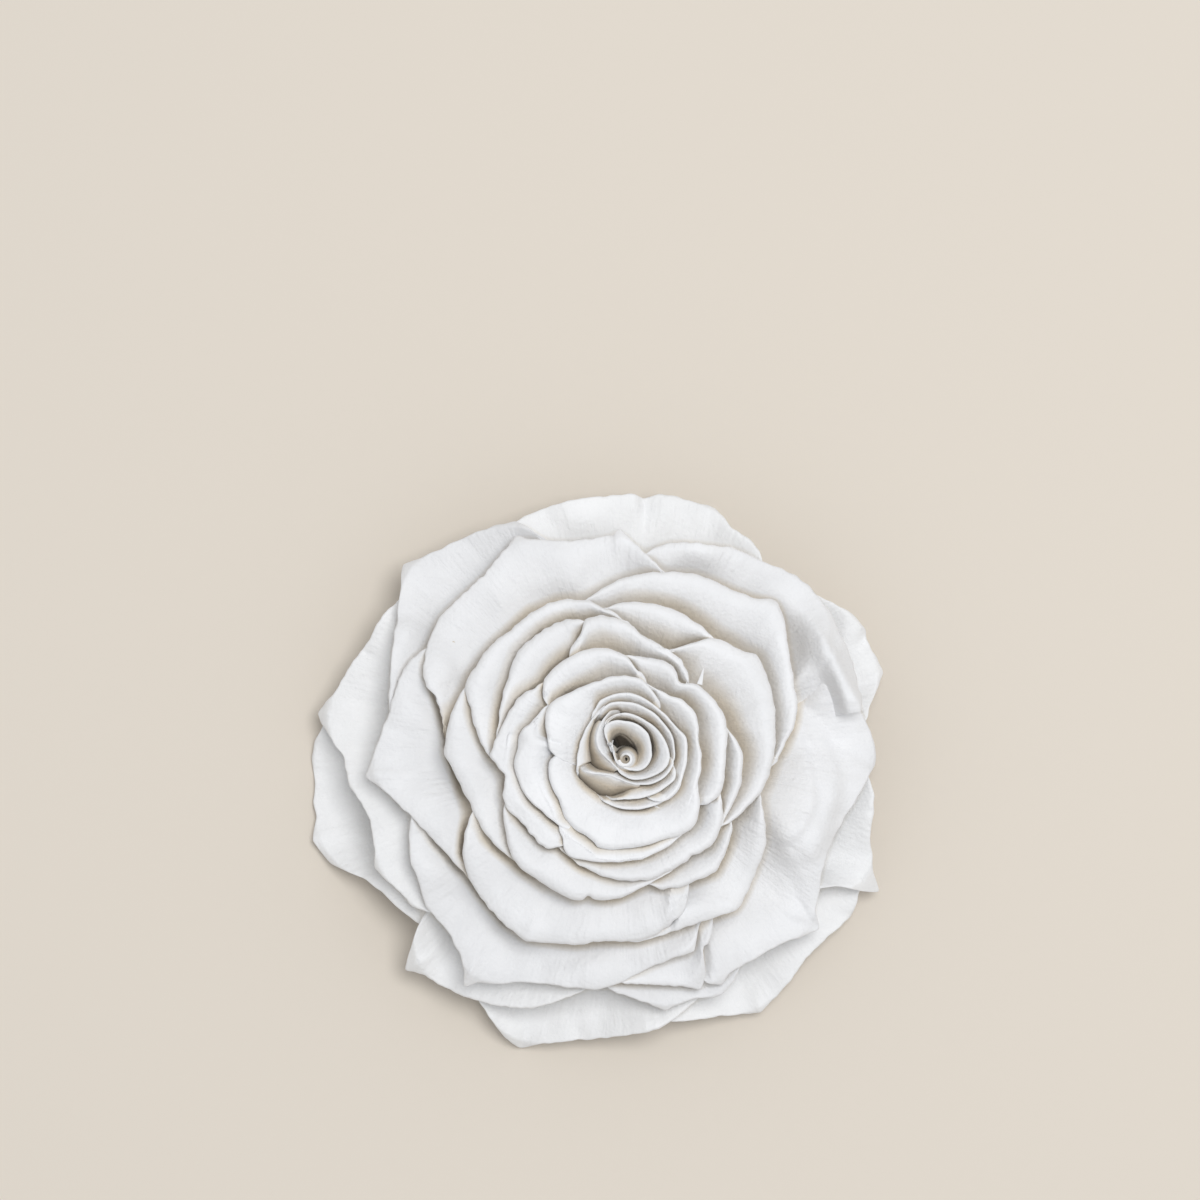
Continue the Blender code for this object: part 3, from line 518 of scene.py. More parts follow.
def rim_bearings(rim, step):
    """Bearings along a rim, with one at each of its points, so that its tips stay crisp."""
    bearings = []
    for (start, reach), (end, next_reach) in zip(rim, rim[1:]):
        length = math.hypot(math.radians(end - start) * 0.5 * (reach + next_reach), next_reach - reach)
        count = max(1, round(length / step))
        bearings += [start + (end - start) * n / count for n in range(count)]
    return np.array(bearings + [rim[-1][0]])


# Ridges (above 0) and creases (below 0) that run in from the tips: their line as (bearing, reach), the
# height at its first point, and how far they spread to the left and to the right of the line, looking
# along it
CREASES = {
    "guard_north": (
        (((86, 41), (85.2, 36), (84.5, 31)), -1.3, 1.6, 0.7),
        (((87.8, 41), (87, 34)), 0.5, 0.6, 2.5),
    ),
    "north": (
        (((116, 37.5), (118.3, 28)), 0.7, 2.0, 3.0),
        (((91.3, 35), (93, 28)), 0.6, 2.0, 1.2),
        (((160.5, 32), (152, 27)), 0.4, 1.5, 1.5),
    ),
    "north_west": (
        (((139, 45), (133, 36)), 0.6, 1.2, 3.0),
        (((150, 41), (140, 37)), -0.4, 0.8, 0.8),
        (((127, 42), (126, 37)), -0.3, 0.8, 0.8),
    ),
    "west": (
        (((142, 31), (147, 30.5), (153, 31)), -1.2, 3.5, 3.5),
        (((184.3, 39.4), (184, 32), (190, 27)), 0.9, 1.4, 1.6),
        (((172, 37), (176, 30)), -0.4, 1.0, 1.0),
    ),
    "south": (
        (((235, 42.5), (232, 34), (226, 31)), 0.9, 1.2, 1.8),
        (((222, 38), (222, 33)), -0.4, 0.9, 0.9),
    ),
    "south_east": (
        (((318.5, 39.6), (316, 32), (314, 28)), 0.8, 1.2, 1.2),
        (((319, 39), (309, 31)), -0.6, 0.8, 0.8),
        (((318, 38), (324, 30)), -0.6, 0.8, 0.8),
        (((300, 36), (304, 30)), -0.5, 0.8, 0.8),
        (((345, 34.5), (338, 28)), -0.4, 0.9, 0.9),
        (((358.2, 38.2), (361, 34.3), (367, 31)), -1.0, 1.2, 2.0),
        (((326.2, 25.2), (330.1, 26.8), (333.6, 27.9)), -0.9, 0.5, 0.5),
    ),
    "guard_south": (
        (((250.8, 48), (250, 44), (249.3, 40.5)), -1.2, 0.8, 2.2),
        (((262, 44), (258, 40)), -0.4, 0.9, 0.9),
        (((243, 45), (244, 40)), 0.4, 1.0, 1.0),
    ),
    "guard_east": (
        (((-28, 44.4), (-25, 39), (-20, 36)), 0.3, 1.6, 2.2),
        (((-12, 39), (-14, 35)), -0.3, 0.8, 0.8),
    ),
    "guard_west": (
        (((172, 47.8), (170, 42), (168, 39)), 0.7, 1.2, 1.8),
        (((158, 43), (160, 39)), -0.4, 1.0, 1.0),
    ),
    "guard_south_west": (
        (((224, 46.9), (226, 42), (228, 38)), 0.8, 1.0, 1.4),
    ),
    "guard_far_west": (
        (((195, 50), (194, 44)), 0.7, 1.2, 1.2),
        (((183, 48), (184, 43)), -0.5, 1.0, 1.0),
    ),
    "guard_north_east": (
        (((18, 42), (19, 37)), 0.6, 1.2, 1.2),
        (((27, 41.5), (24, 38)), -0.8, 0.5, 0.5),
    ),
    "guard_south_east": (
        (((298, 44.5), (300, 39)), 0.7, 1.2, 1.2),
        (((325, 42.6), (320, 38)), -0.5, 1.0, 1.0),
        (((285, 41.6), (290, 38)), -0.4, 0.9, 0.9),
    ),
    "north_east": (
        (((11.2, 36.4), (18.8, 35.2), (27, 34.9), (36.8, 34.7), (47, 34.6), (60, 33)), 2.0, 2.8, 1.2),
    ),
    "outer_cup_north_east": (
        (((45, 32.6), (43, 27), (40, 25)), 0.5, 1.5, 1.5),
    ),
    "outer_cup_south_west": (
        (((242, 31.2), (241, 26)), 0.4, 1.2, 1.2),
        (((225, 30), (226, 25)), -0.3, 1.0, 1.0),
    ),
    "outer_cup_south_east": (
        (((306, 28.4), (305, 24)), 0.5, 1.2, 1.2),
    ),
    "south_small": (
        (((288, 37), (276, 33)), 0.4, 0.8, 0.8),
    ),
}
CREASE_GAIN = 1.5
CREST = 0.35
# Soft steps across a petal where it swells over what is under it: the line of the step as (bearing,
# reach), how far the petal is raised inside it, how wide the step is, and over how many degrees each end
# fades
SWELLS = {
    "south_east": (
        (((322, 26.5), (327, 29.5), (331, 31.4), (336, 32.2), (343, 32.4), (349, 32.3), (354.6, 31.9),
          (360.5, 31.0), (366, 29.6), (371, 28.3), (375, 27.0), (381.5, 25.6), (388, 24.4)),
         1.8, 3.0, 16, 3),
        (((318, 23.6), (326, 25.6), (330, 26.8), (333.6, 27.9), (338, 28.8), (345, 29.3), (349, 29.0),
          (354, 28.2), (364, 26.9), (375, 26.2)),
         1.1, 1.6, 12, 6),
    ),
    "north_east": (
        (((9, 33.5), (18, 31.5), (35, 31.5), (50, 30.5)),
         -1.4, 4.0, 0.1, 12),
    ),
}
STEP_SHARES = (-0.3, 0.7)


def swell_height(name, turn, out):
    """How far a petal's swells raise points of it."""
    raised = 0.0 * out
    for line, tall, wide, fade_in, fade_out in SWELLS.get(name, ()):
        step = np.interp(turn, [b for b, r in line], [r for b, r in line])
        ends = soft_step(-0.1, fade_in, turn - line[0][0]) * soft_step(0.0, fade_out, line[-1][0] - turn)
        across = soft_step(STEP_SHARES[0] * wide, STEP_SHARES[1] * wide, out - step)
        raised = raised + tall * ends * (1.0 - across)
    return raised


def crease_height(line, height, left, right, x, y):
    """Height of a ridge or crease over points, fading to nothing at the far end of its line."""
    corners = [(r * math.cos(math.radians(b)), r * math.sin(math.radians(b))) for b, r in line]
    lengths = [math.dist(one, two) for one, two in zip(corners, corners[1:])]
    nearest = np.full(x.shape, np.inf)
    result = np.zeros(x.shape)
    done = 0.0
    for (x0, y0), (x1, y1), length in zip(corners, corners[1:], lengths):
        along = ((x - x0) * (x1 - x0) + (y - y0) * (y1 - y0)) / length ** 2
        share = np.clip(along, 0.0, 1.0)
        away = np.hypot(x - x0 - share * (x1 - x0), y - y0 - share * (y1 - y0))
        away = np.hypot(away, CREST) - CREST
        side = (x1 - x0) * (y - y0) - (y1 - y0) * (x - x0)
        fade = soft_step(0.0, 1.0, 1.0 - (done + share * length) / sum(lengths))
        value = CREASE_GAIN * height * fade * np.exp(-away / np.where(side > 0.0, left, right))
        result = np.where(away < nearest, value, result)
        nearest = np.minimum(nearest, away)
        done += length
    return result


# The grid of a petal: its rows up the wall, along the open band and round the rolled lip, and the steps
# between its columns. A petal past the open reach is an outer one, which gets a coarser grid, dents and
# diving ends
WALL_ROWS = 7
BAND_ROWS = 26
LIP_ROWS = 7
OPEN_REACH = 12.0
OPEN_STEP = 0.45
HEART_STEP = 0.28
CORNER_LENGTH = 0.25
CORNER_SOFTEST = 1.2
# Small waves in the rim: how many, how long, how tall, and the reach from which they are at full height
RIM_WAVES = 5
RIM_WAVE_LENGTHS = (1.3, 4.5)
RIM_WAVE_HEIGHTS = (0.01, 0.045)
FULL_WAVE_REACH = 14.0
ANY_PHASE = (0.0, 6.28)
# The lip rolls down by this share of what shows of the petal, and past the vertical
LIP_SHARE = 0.3
LIP_LEAST = 0.12
LIP_TURN = 105.0
# Walls stand a step apart, or start at the hip. Rows keep a little room between them
WALL_STEP = 0.86
WALL_LEAST = 0.3
HIP_REACH = 5.0
COVER_ROOM = 0.4
UNDER_COVER = 0.5
BAND_ROOM = 0.1


def mean_reach(name):
    return float(np.mean([reach for bearing, reach in RIMS[name][1]]))


def petal_plan(name, rim, lip, to_hip, seed):
    """A petal from above: its bearings and rim, how far it is covered, and each row's reach and drop."""
    layer = RIMS[name][0]
    mean = mean_reach(name)
    bearing = rim_bearings(rim, OPEN_STEP if mean > OPEN_REACH else HEART_STEP)
    reach = reach_of(rim, bearing, min(CORNER_SOFTEST, math.degrees(CORNER_LENGTH / mean)))
    along = np.radians(bearing - rim[0][0]) * mean
    for wave in range(RIM_WAVES):
        length = seed.uniform(*RIM_WAVE_LENGTHS)
        tall = seed.uniform(*RIM_WAVE_HEIGHTS) * min(1.0, mean / FULL_WAVE_REACH)
        reach = reach + tall * np.sin(2.0 * math.pi * along / length + seed.uniform(*ANY_PHASE))
    cover = np.minimum(reach_at(layer - 0.5, bearing), reach - COVER_ROOM)
    roll = np.clip(LIP_SHARE * (reach - cover), LIP_LEAST, lip)
    flat_end = reach - roll
    wall = np.maximum(np.minimum(WALL_STEP * layer, cover - COVER_ROOM), WALL_LEAST)
    if to_hip:
        wall = np.full(len(bearing), HIP_REACH)
    inner = np.maximum(np.minimum(cover - UNDER_COVER, flat_end - COVER_ROOM), wall + BAND_ROOM)
    rows = [wall + (inner - wall) * n / WALL_ROWS for n in range(WALL_ROWS)]
    rows += [inner + (flat_end - inner) * n / BAND_ROWS for n in range(BAND_ROWS)]
    drops = [np.zeros(len(bearing)) for row in rows]
    for n in range(LIP_ROWS):
        angle = math.radians(LIP_TURN) * n / (LIP_ROWS - 1)
        rows.append(flat_end + roll * math.sin(angle))
        drops.append(roll * (1.0 - math.cos(angle)))
    return bearing, reach, cover, np.array(rows), np.array(drops)


def waves(seed, count, lengths, slant_most, along, out):
    """A sum of waves across a petal, whose lengths, places and slants are drawn at random from its seed."""
    total = np.zeros(out.shape)
    for n in range(count):
        length = seed.uniform(*lengths)
        phase = seed.uniform(*ANY_PHASE)
        slant = seed.uniform(-slant_most, slant_most)
        total = total + np.sin(2.0 * math.pi * (along + slant * out) / length + phase)
    return total


# How far the colour painted into a fold, cream with painted shade over it, spreads from the petal inside
# it, how strong it is, and how much an open gap adds in painted shade
CREAM_SHADE_SPREAD = (1.7, 1.5, 1.3, 1.5, 1.9, 2.1, 1.4, 0.8)
CREAM_SHADE_STRENGTH = (0.75, 0.6, 0.52, 0.52, 0.52, 0.48, 0.24, 0.08)
GAP_PAINTED_SHADE = (0.35, 0.35, 0.35, 0.3, 0.15, 0.12, 0.12, 0.12)
CREAM_SHADE_SHARE = 0.85
CREAM_SHADE_LEAST_BAND = 0.5
CREAM_SHADE_EDGE = 0.1
CREAM_SHADE_CHANGES = (3, 9)
# The side of the cup whose petals face inwards, away from the lamp, and take a broader painted shade, how
# much broader, and at which reaches
SHADED_SIDE = 55.0
SHADED_SPREAD = 1.9
SHADED_FROM = (8.0, 12.0)
SHADED_TO = (20.0, 30.0)
# The petals round the pit of the heart take painted shade that darkens further down
PIT_REACH = 4.5
PIT_PAINTED_SHADE = 0.6
PIT_DEPTHS = (0.2, 1.0)


def fold_cream_and_shade(turn, out, reach, cover, opening, mean, seed):
    """How much cream and painted shade points take from the fold inside them: 0 in the open, 1 in the
    deepest painted shade.
    """
    shaded = (0.5 + 0.5 * np.cos(np.radians(turn - SHADED_SIDE))) ** 2 * soft_step(*SHADED_FROM, out)
    shaded = shaded * (1.0 - soft_step(*SHADED_TO, out))
    wide = by_reach(CREAM_SHADE_SPREAD, out) * (1.0 + SHADED_SPREAD * shaded)
    spread_to = np.minimum(wide, CREAM_SHADE_SHARE * np.maximum(reach - cover, CREAM_SHADE_LEAST_BAND)) + opening
    strength = by_reach(CREAM_SHADE_STRENGTH, out) + by_reach(GAP_PAINTED_SHADE, out) * opening
    change = np.sin(np.radians(turn) * seed.integers(*CREAM_SHADE_CHANGES) + seed.uniform(*ANY_PHASE))
    fold = strength * (0.8 + 0.2 * change) * soft_step(-spread_to, CREAM_SHADE_EDGE, cover - out)
    if mean < PIT_REACH:
        fold = fold + PIT_PAINTED_SHADE * soft_step(*PIT_DEPTHS, cover - out)
    return np.clip(fold, 0.0, 1.0)


# The slope at the back of a petal that a pocket shows: its rows, how deep and steep it is, and the painted
# shade that darkens it down into the pocket
SLOPE_ROWS = 8
SLOPE_DEPTH = 3.4
SLOPE_STEEPNESS = 1.4
SLOPE_START = 0.15
SLOPE_CURVE = 1.2
SLOPE_PAINTED_SHADE = (0.2, 0.8)
SLOPE_PAINTED_SHADE_CURVE = 1.4


def with_slope(pocket_rim, bearing, out, height, fold):
    """A petal's rows with those of the slope that goes on from its lip, down into the pocket outside it."""
    inside = (bearing > pocket_rim[0][0]) & (bearing < pocket_rim[-1][0])
    length = np.where(inside, np.maximum(reach_of(pocket_rim, bearing) - out[-1], 0.0), 0.0)
    outs, heights, folds = [], [], []
    for n in range(1, SLOPE_ROWS + 1):
        share = n / SLOPE_ROWS
        fall = np.minimum(SLOPE_DEPTH, SLOPE_STEEPNESS * length) * share ** SLOPE_CURVE
        # Painted shade darkens the slope further down into the pocket
        cream_and_shade = SLOPE_PAINTED_SHADE[0] + SLOPE_PAINTED_SHADE[1] * share ** SLOPE_PAINTED_SHADE_CURVE * np.minimum(1.0, length)
        outs.append(out[-1] + length * share)
        heights.append(height[-1] - SLOPE_START * share - fall)
        folds.append(np.clip(cream_and_shade, 0.0, 1.0))
    return np.concatenate((out, outs)), np.concatenate((height, heights)), np.concatenate((fold, folds))


# The feet of the petals that stand on the hip: the height of the last layer's, and the step between layers
HIP_HEIGHT = 10.6
HIP_PITCH = 0.12
LAST_LAYER = 25.0
# Broad waves and small dents in what shows of a petal, and how far out from its cover they reach full
# depth
BROAD_WAVES = 4
BROAD_LENGTHS = (12.0, 30.0)
BROAD_SLANT = 0.25
DENTS = 6
DENT_LENGTHS = (3.5, 9.0)
DENT_SLANT = 0.7
DENT_DEPTH = 0.038
SHOWN_OVER = 4.0
CREASE_SHOWN = (-1.0, 2.0)
# A petal that melts into a sheet outside it: the sheet, between which bearings it rises clear of it, and
# between which reaches its tip does. Until then it lies this far under the sheet
SINKS_UNDER = {"north_east": ("south_east", (12.0, 33.0), (31.5, 34.5))}
SINK_DEPTH = 1.3
# A petal's underside keeps this clear of the table, and a diving end this far under the petals beside it
UNDERSIDE_GAP = 0.15
UNDERSIDE_SOFTNESS = 0.3
END_DIVE = 1.2


def petal_points(name, lip, ruffle, to_hip):
    """Rows of points from a petal's foot to its rolled lip, with the cream and painted shade each takes in
    its fold.
    """
    layer, listed = RIMS[name]
    mean = mean_reach(name)
    rim = tapered(name)
    first, last = rim[0][0], rim[-1][0]
    seed = np.random.default_rng(sum(ord(letter) * (n + 3) for n, letter in enumerate(name)))
    bearing, reach, cover, out, drop = petal_plan(name, rim, lip, to_hip, seed)
    turn = np.broadcast_to(bearing, out.shape)
    x = out * np.cos(np.radians(turn))
    y = out * np.sin(np.radians(turn))
    height = surface(layer, turn, out)
    if to_hip:
        spread = WALL_STEP * layer
        foot = HIP_HEIGHT + HIP_PITCH * (LAST_LAYER - layer)
        shoulder = surface(layer, bearing, spread)
        slope = foot + (shoulder - foot) * (out - HIP_REACH) / (spread - HIP_REACH)
        height = np.where(out < spread, slope, height)
    along = np.radians(turn - first) * mean
    broad = waves(seed, BROAD_WAVES, BROAD_LENGTHS, BROAD_SLANT, along, out)
    dents = waves(seed, DENTS if mean > OPEN_REACH else 0, DENT_LENGTHS, DENT_SLANT, along, out)
    shown = soft_step(0.0, SHOWN_OVER, out - cover)
    height = height - drop + shown * (ruffle * broad / 2.0 + DENT_DEPTH * dents)
    for line, tall, left, right in CREASES.get(name, ()):
        raised = crease_height(line, tall, left, right, x, y)
        height = height + raised * soft_step(*CREASE_SHOWN, out - cover)
    height = height + swell_height(name, turn, out)
    if name in SINKS_UNDER:
        sheet, clear_bearings, clear_reaches = SINKS_UNDER[name]
        sheet_height = surface(RIMS[sheet][0], turn, out) + swell_height(sheet, turn + 360.0, out)
        share = (1.0 - soft_step(*clear_bearings, turn)) * (1.0 - soft_step(*clear_reaches, out))
        height = height + share * np.minimum(sheet_height - SINK_DEPTH - height, 0.0)
    height = kept_above(PETAL_THICKNESS + UNDERSIDE_GAP, UNDERSIDE_SOFTNESS, height)
    fold = fold_cream_and_shade(turn, out, reach, cover, gap_opening(x, y), mean, seed)
    if mean > OPEN_REACH:
        over = np.maximum(turn - listed[-1][0], 0.0) / (last - listed[-1][0])
        if name not in SUNK_STARTS:
            over = over + np.maximum(listed[0][0] - turn, 0.0) / (listed[0][0] - first)
        height = height - END_DIVE * over
    for sunk_ends, from_end in ((SUNK_STARTS, turn - first), (SUNK_ENDS, last - turn)):
        if name in sunk_ends:
            sunk, fading = sunk_ends[name]
            height = height - sunk * np.clip(1.0 - from_end / fading, 0.0, 1.0)
    if name in POCKETS:
        out, height, fold = with_slope(POCKETS[name][1], bearing, out, height, fold)
    return np.broadcast_to(bearing, out.shape), out, height, fold


def thicken(piece, thickness, offset):
    """Gives a sheet its thickness in millimetres."""
    wall = piece.modifiers.new("thickness", "SOLIDIFY")
    wall.thickness = MM * thickness
    wall.offset = offset
    bpy.ops.object.modifier_apply(modifier="thickness")


def finish_petal_piece(piece, material):
    piece.data.materials.append(material)
    bpy.ops.object.shade_smooth_by_angle(angle=SMOOTH_ANGLE)
    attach(piece, "root")
    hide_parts("bloom")
    bpy.ops.object.select_all(action="DESELECT")


def add_petal(name, material, lip, ruffle, to_hip=False, thickness=PETAL_THICKNESS):
    """One petal: a fine grid laid on its points, given its thickness, and smoothed."""
    turn, out, height, fold = petal_points(name, lip, ruffle, to_hip)
    along, across = out.shape
    bpy.ops.mesh.primitive_grid_add(x_subdivisions=across - 1, y_subdivisions=along - 1, size=1.0)
    petal = bpy.context.object
    petal.name = "petal_" + name
    mesh = petal.data
    count = len(mesh.vertices)
    places = np.empty(count * 3)
    mesh.vertices.foreach_get("co", places)
    places = places.reshape(count, 3)
    column = across - 1 - np.rint((places[:, 0] + 0.5) * (across - 1)).astype(int)
    row = np.rint((places[:, 1] + 0.5) * (along - 1)).astype(int)
    angle = np.radians(turn[row, column])
    reach = out[row, column]
    places[:, 0] = MM * reach * np.cos(angle)
    places[:, 1] = MM * reach * np.sin(angle)
    places[:, 2] = MM * height[row, column]
    mesh.vertices.foreach_set("co", places.ravel())
    # The fold attribute carries cream with painted shade into the petal's colour
    depth = mesh.attributes.new("fold", "FLOAT", "POINT")
    depth.data.foreach_set("value", fold[row, column].astype(np.float32))
    # The map runs round the petal and out along it, in millimetres, so that the veins follow it
    corner = np.empty(len(mesh.loops), int)
    mesh.loops.foreach_get("vertex_index", corner)
    flat = np.stack((angle * mean_reach(name), reach), axis=1)
    mesh.uv_layers[0].data.foreach_set("uv", flat[corner].astype(np.float32).ravel())
    thicken(petal, thickness, offset=-1.0)
    finish_petal_piece(petal, material)


def add_node(tree, kind, values, **sources):
    """A shader node with values set on its inputs, and outputs of other nodes linked to them."""
    node = tree.nodes.new("ShaderNode" + kind)
    for name, value in values.items():
        node.inputs[name].default_value = value
    for name, output in sources.items():
        tree.links.new(output, node.inputs[name])
    return node


def set_ramp(ramp, *stops):
    """Gives a colour ramp its stops, as (position, colour)."""
    while len(ramp.elements) < len(stops):
        ramp.elements.new(1.0)
    for element, (position, colour) in zip(ramp.elements, stops):
        element.position = position
        element.color = (*colour, 1.0)


# The felt of a preserved petal is matt with a faint sheen. Its cream, with painted shade, sets in where a
# fold begins and turns to deep painted shade at its foot, its white is blotched a little, and veins run
# along it under the felt
PETAL_SURFACE = {"Roughness": 0.72, "Specular IOR Level": 0.25,
                 "Sheen Weight": 0.12, "Sheen Roughness": 0.5}
CREAM_SHADE_START = 0.1
CREAM_SHADE_MIDDLE = 0.45
BLOTCHES = {"Scale": 140.0, "Detail": 4.0}
BLOTCH_SHADES = {"From Min": 0.3, "From Max": 0.7, "To Min": 0.95, "To Max": 1.025}
VEIN_STRETCH = {"Scale": (1.1, 0.15, 1.0)}
VEINS = {"Scale": 1.0, "Detail": 3.0}
VEIN_RELIEF = {"Strength": 0.65, "Distance": 0.00035}
FELT = {"Scale": 1600.0, "Detail": 3.0}
FELT_RELIEF = {"Strength": 0.9, "Distance": 0.00016}


def petal_material(name, open_colour, fold_cream_shade_colour, deep_shade_colour):
    """Preserved petal: matt, fine-felted white that turns to cream and painted shade towards the folds,
    with faint veins along it.
    """
    material = bpy.data.materials.new(name)
    material.use_nodes = True
    tree = material.node_tree
    shader = tree.nodes["Principled BSDF"]
    for key, value in PETAL_SURFACE.items():
        shader.inputs[key].default_value = value
    place = tree.nodes.new("ShaderNodeTexCoord")
    fold = tree.nodes.new("ShaderNodeAttribute")
    fold.attribute_name = "fold"
    cream_and_shade = add_node(tree, "ValToRGB", {}, Fac=fold.outputs["Fac"])
    set_ramp(cream_and_shade.color_ramp, (CREAM_SHADE_START, open_colour), (CREAM_SHADE_MIDDLE, fold_cream_shade_colour), (1.0, deep_shade_colour))
    blotches = add_node(tree, "TexNoise", BLOTCHES, Vector=place.outputs["Object"])
    shades = add_node(tree, "MapRange", BLOTCH_SHADES, Value=blotches.outputs["Fac"])
    tint = add_node(tree, "VectorMath", {})
    tint.operation = "SCALE"
    tree.links.new(cream_and_shade.outputs["Color"], tint.inputs[0])
    tree.links.new(shades.outputs["Result"], tint.inputs["Scale"])
    tree.links.new(tint.outputs["Vector"], shader.inputs["Base Color"])
    stretch = add_node(tree, "Mapping", VEIN_STRETCH, Vector=place.outputs["UV"])
    veins = add_node(tree, "TexNoise", VEINS, Vector=stretch.outputs["Vector"])
    relief = add_node(tree, "Bump", VEIN_RELIEF, Height=veins.outputs["Fac"])
    felt = add_node(tree, "TexNoise", FELT, Vector=place.outputs["Object"])
    skin = add_node(tree, "Bump", FELT_RELIEF, Height=felt.outputs["Fac"], Normal=relief.outputs["Normal"])
    tree.links.new(skin.outputs["Normal"], shader.inputs["Normal"])
    return material


# The guards' copy is painted lighter than the others, as light. In each copy the fold colour is cream with
# painted shade, and the deep colour painted shade
guard_white_painted_lighter = petal_material("guard_petal_painted_lighter", (0.93, 0.94, 0.955), (0.80, 0.76, 0.69), (0.4, 0.34, 0.27))
white = petal_material("white_petal", (0.88, 0.89, 0.912), (0.72, 0.66, 0.57), (0.36, 0.29, 0.21))
# In the heart the deep colour is near black: painted shade in its pits
heart_white = petal_material("heart_petal", (0.87, 0.88, 0.90), (0.66, 0.59, 0.49), (0.05, 0.04, 0.03))
OUTER_LAYER = 16
ON_HIP_LAYER = 17
open_levels(max(layer for layer, rim in RIMS.values()))
for name, (layer, rim) in RIMS.items():
    if name.startswith("heart"):
        add_petal(name, heart_white, lip=0.32, ruffle=0.0, thickness=HEART_THICKNESS)
    elif name.startswith("throat"):
        add_petal(name, white, lip=0.4, ruffle=0.1)
    elif layer < OUTER_LAYER:
        add_petal(name, white, lip=0.5, ruffle=0.2)
    elif name.startswith("guard"):
        add_petal(name, guard_white_painted_lighter, lip=0.3, ruffle=0.8, to_hip=True)
    else:
        add_petal(name, white, lip=0.3, ruffle=0.8, to_hip=layer >= ON_HIP_LAYER)

# The bud. The last petal is still rolled up round the axis in a spiral, beside the dark pit of the
# heart. Its wall flares out below, and its inner turns sink; painted shade darkens the inner turns and
# the wall further down.
BUD_X = 0.1
BUD_Y = -0.25
BUD_TURNS = 2.2
BUD_FIRST_BEARING = 190.0
BUD_OUTER = 0.98
BUD_INNER = 0.2
BUD_FLARE = 1.1
BUD_FLARE_RATE = 2.2
BUD_FLARE_CURVE = 1.3
BUD_HEIGHT = 5.0
BUD_BELOW_CROWN = 0.3
BUD_TILT = 0.15
BUD_SPIRAL_FALL = 0.5
# Where, in turns, the inner part of the spiral starts and is full, how far it sinks, and its painted
# shade; then how far down the wall painted shade starts, and how fast it darkens
BUD_INNER_FROM = 0.7
BUD_INNER_OVER = 0.4
BUD_INNER_FALL = 0.8
BUD_INNER_PAINTED_SHADE = 0.62
BUD_PAINTED_SHADE_FROM = 0.13
BUD_PAINTED_SHADE_RATE = 2.6
BUD_COLUMNS = 240
BUD_ROWS = 28
bpy.ops.mesh.primitive_grid_add(x_subdivisions=BUD_COLUMNS, y_subdivisions=BUD_ROWS, size=1.0)
bud = bpy.context.object
bud.name = "petal_bud"
bud_top = float(crown(np.array(0.0), np.array(0.0))) - BUD_BELOW_CROWN
bud_fold = bud.data.attributes.new("fold", "FLOAT", "POINT")
for n, vertex in enumerate(bud.data.vertices):
    share = 0.5 - vertex.co.x
    down = 0.5 - vertex.co.y
    inner = min(max((BUD_TURNS * share - BUD_INNER_FROM) / BUD_INNER_OVER, 0.0), 1.0)
    turn = math.radians(BUD_FIRST_BEARING + 360.0 * BUD_TURNS * share)
    flare = BUD_FLARE * min(1.0, BUD_FLARE_RATE * down) ** BUD_FLARE_CURVE * (1.0 - share) ** 0.5
    radius = BUD_OUTER + (BUD_INNER - BUD_OUTER) * share + flare
    height = bud_top + BUD_TILT * math.cos(turn) - BUD_INNER_FALL * inner
    height = height - BUD_SPIRAL_FALL * share - BUD_HEIGHT * down
    vertex.co.x = MM * (BUD_X + radius * math.cos(turn))
    vertex.co.y = MM * (BUD_Y + radius * math.sin(turn))
    vertex.co.z = MM * height
    # Painted shade on the inner turns and down the flaring wall
    cream_and_shade = BUD_INNER_PAINTED_SHADE * inner + BUD_PAINTED_SHADE_RATE * max(0.0, down - BUD_PAINTED_SHADE_FROM)
    bud_fold.data[n].value = min(1.0, cream_and_shade)
thicken(bud, PETAL_THICKNESS, offset=0.0)
finish_petal_piece(bud, heart_white)

# The sliver. It is the torn tip of an inner petal's edge on the north-east side, dried and curled up
# into a fine flat spike. It points outwards from that petal's rim, level with the petal's surface.
SLIVER_FOOT = (11.0, 10.7)
SLIVER_TIP = (11.6, 13.1)
SLIVER_RADIUS = 0.42
SLIVER_POINT = 0.04
SLIVER_FLATNESS = 0.4
SLIVER_LIFT = 0.1
SLIVER_SIDES = 24
foot_x, foot_y = SLIVER_FOOT
tip_x, tip_y = SLIVER_TIP
sliver_layer = RIMS["inner_north_east"][0]
sliver_bearing = math.degrees(math.atan2(tip_y, tip_x))
sliver_height = float(surface(sliver_layer, sliver_bearing, math.hypot(foot_x, foot_y))) + SLIVER_LIFT
bpy.ops.mesh.primitive_cone_add(vertices=SLIVER_SIDES, radius1=MM * SLIVER_RADIUS,
                                radius2=MM * SLIVER_POINT, depth=MM * math.dist(SLIVER_FOOT, SLIVER_TIP))
sliver = bpy.context.object
sliver.name = "petal_sliver"
sliver.scale = (1.0, SLIVER_FLATNESS, 1.0)
sliver.rotation_euler = (math.radians(-90.0), 0.0, math.atan2(foot_x - tip_x, tip_y - foot_y))
sliver.location = (MM * 0.5 * (foot_x + tip_x), MM * 0.5 * (foot_y + tip_y), MM * sliver_height)
bpy.ops.object.transform_apply(location=True, rotation=True, scale=True)
finish_petal_piece(sliver, white)

# The receptacle. It is the cream core that the inner petals grow from. It widens upwards from the hip,
# closes in again under the heart, and hardly shows between the petals.
CORE_LOOPS = ((4.5, 10.0), (9.0, 20.0), (13.0, 28.5), (10.5, 33.0), (3.0, 37.0))
CORE_CREAM = 0.4
CORE_SIDES = 64
FACING = 0.9


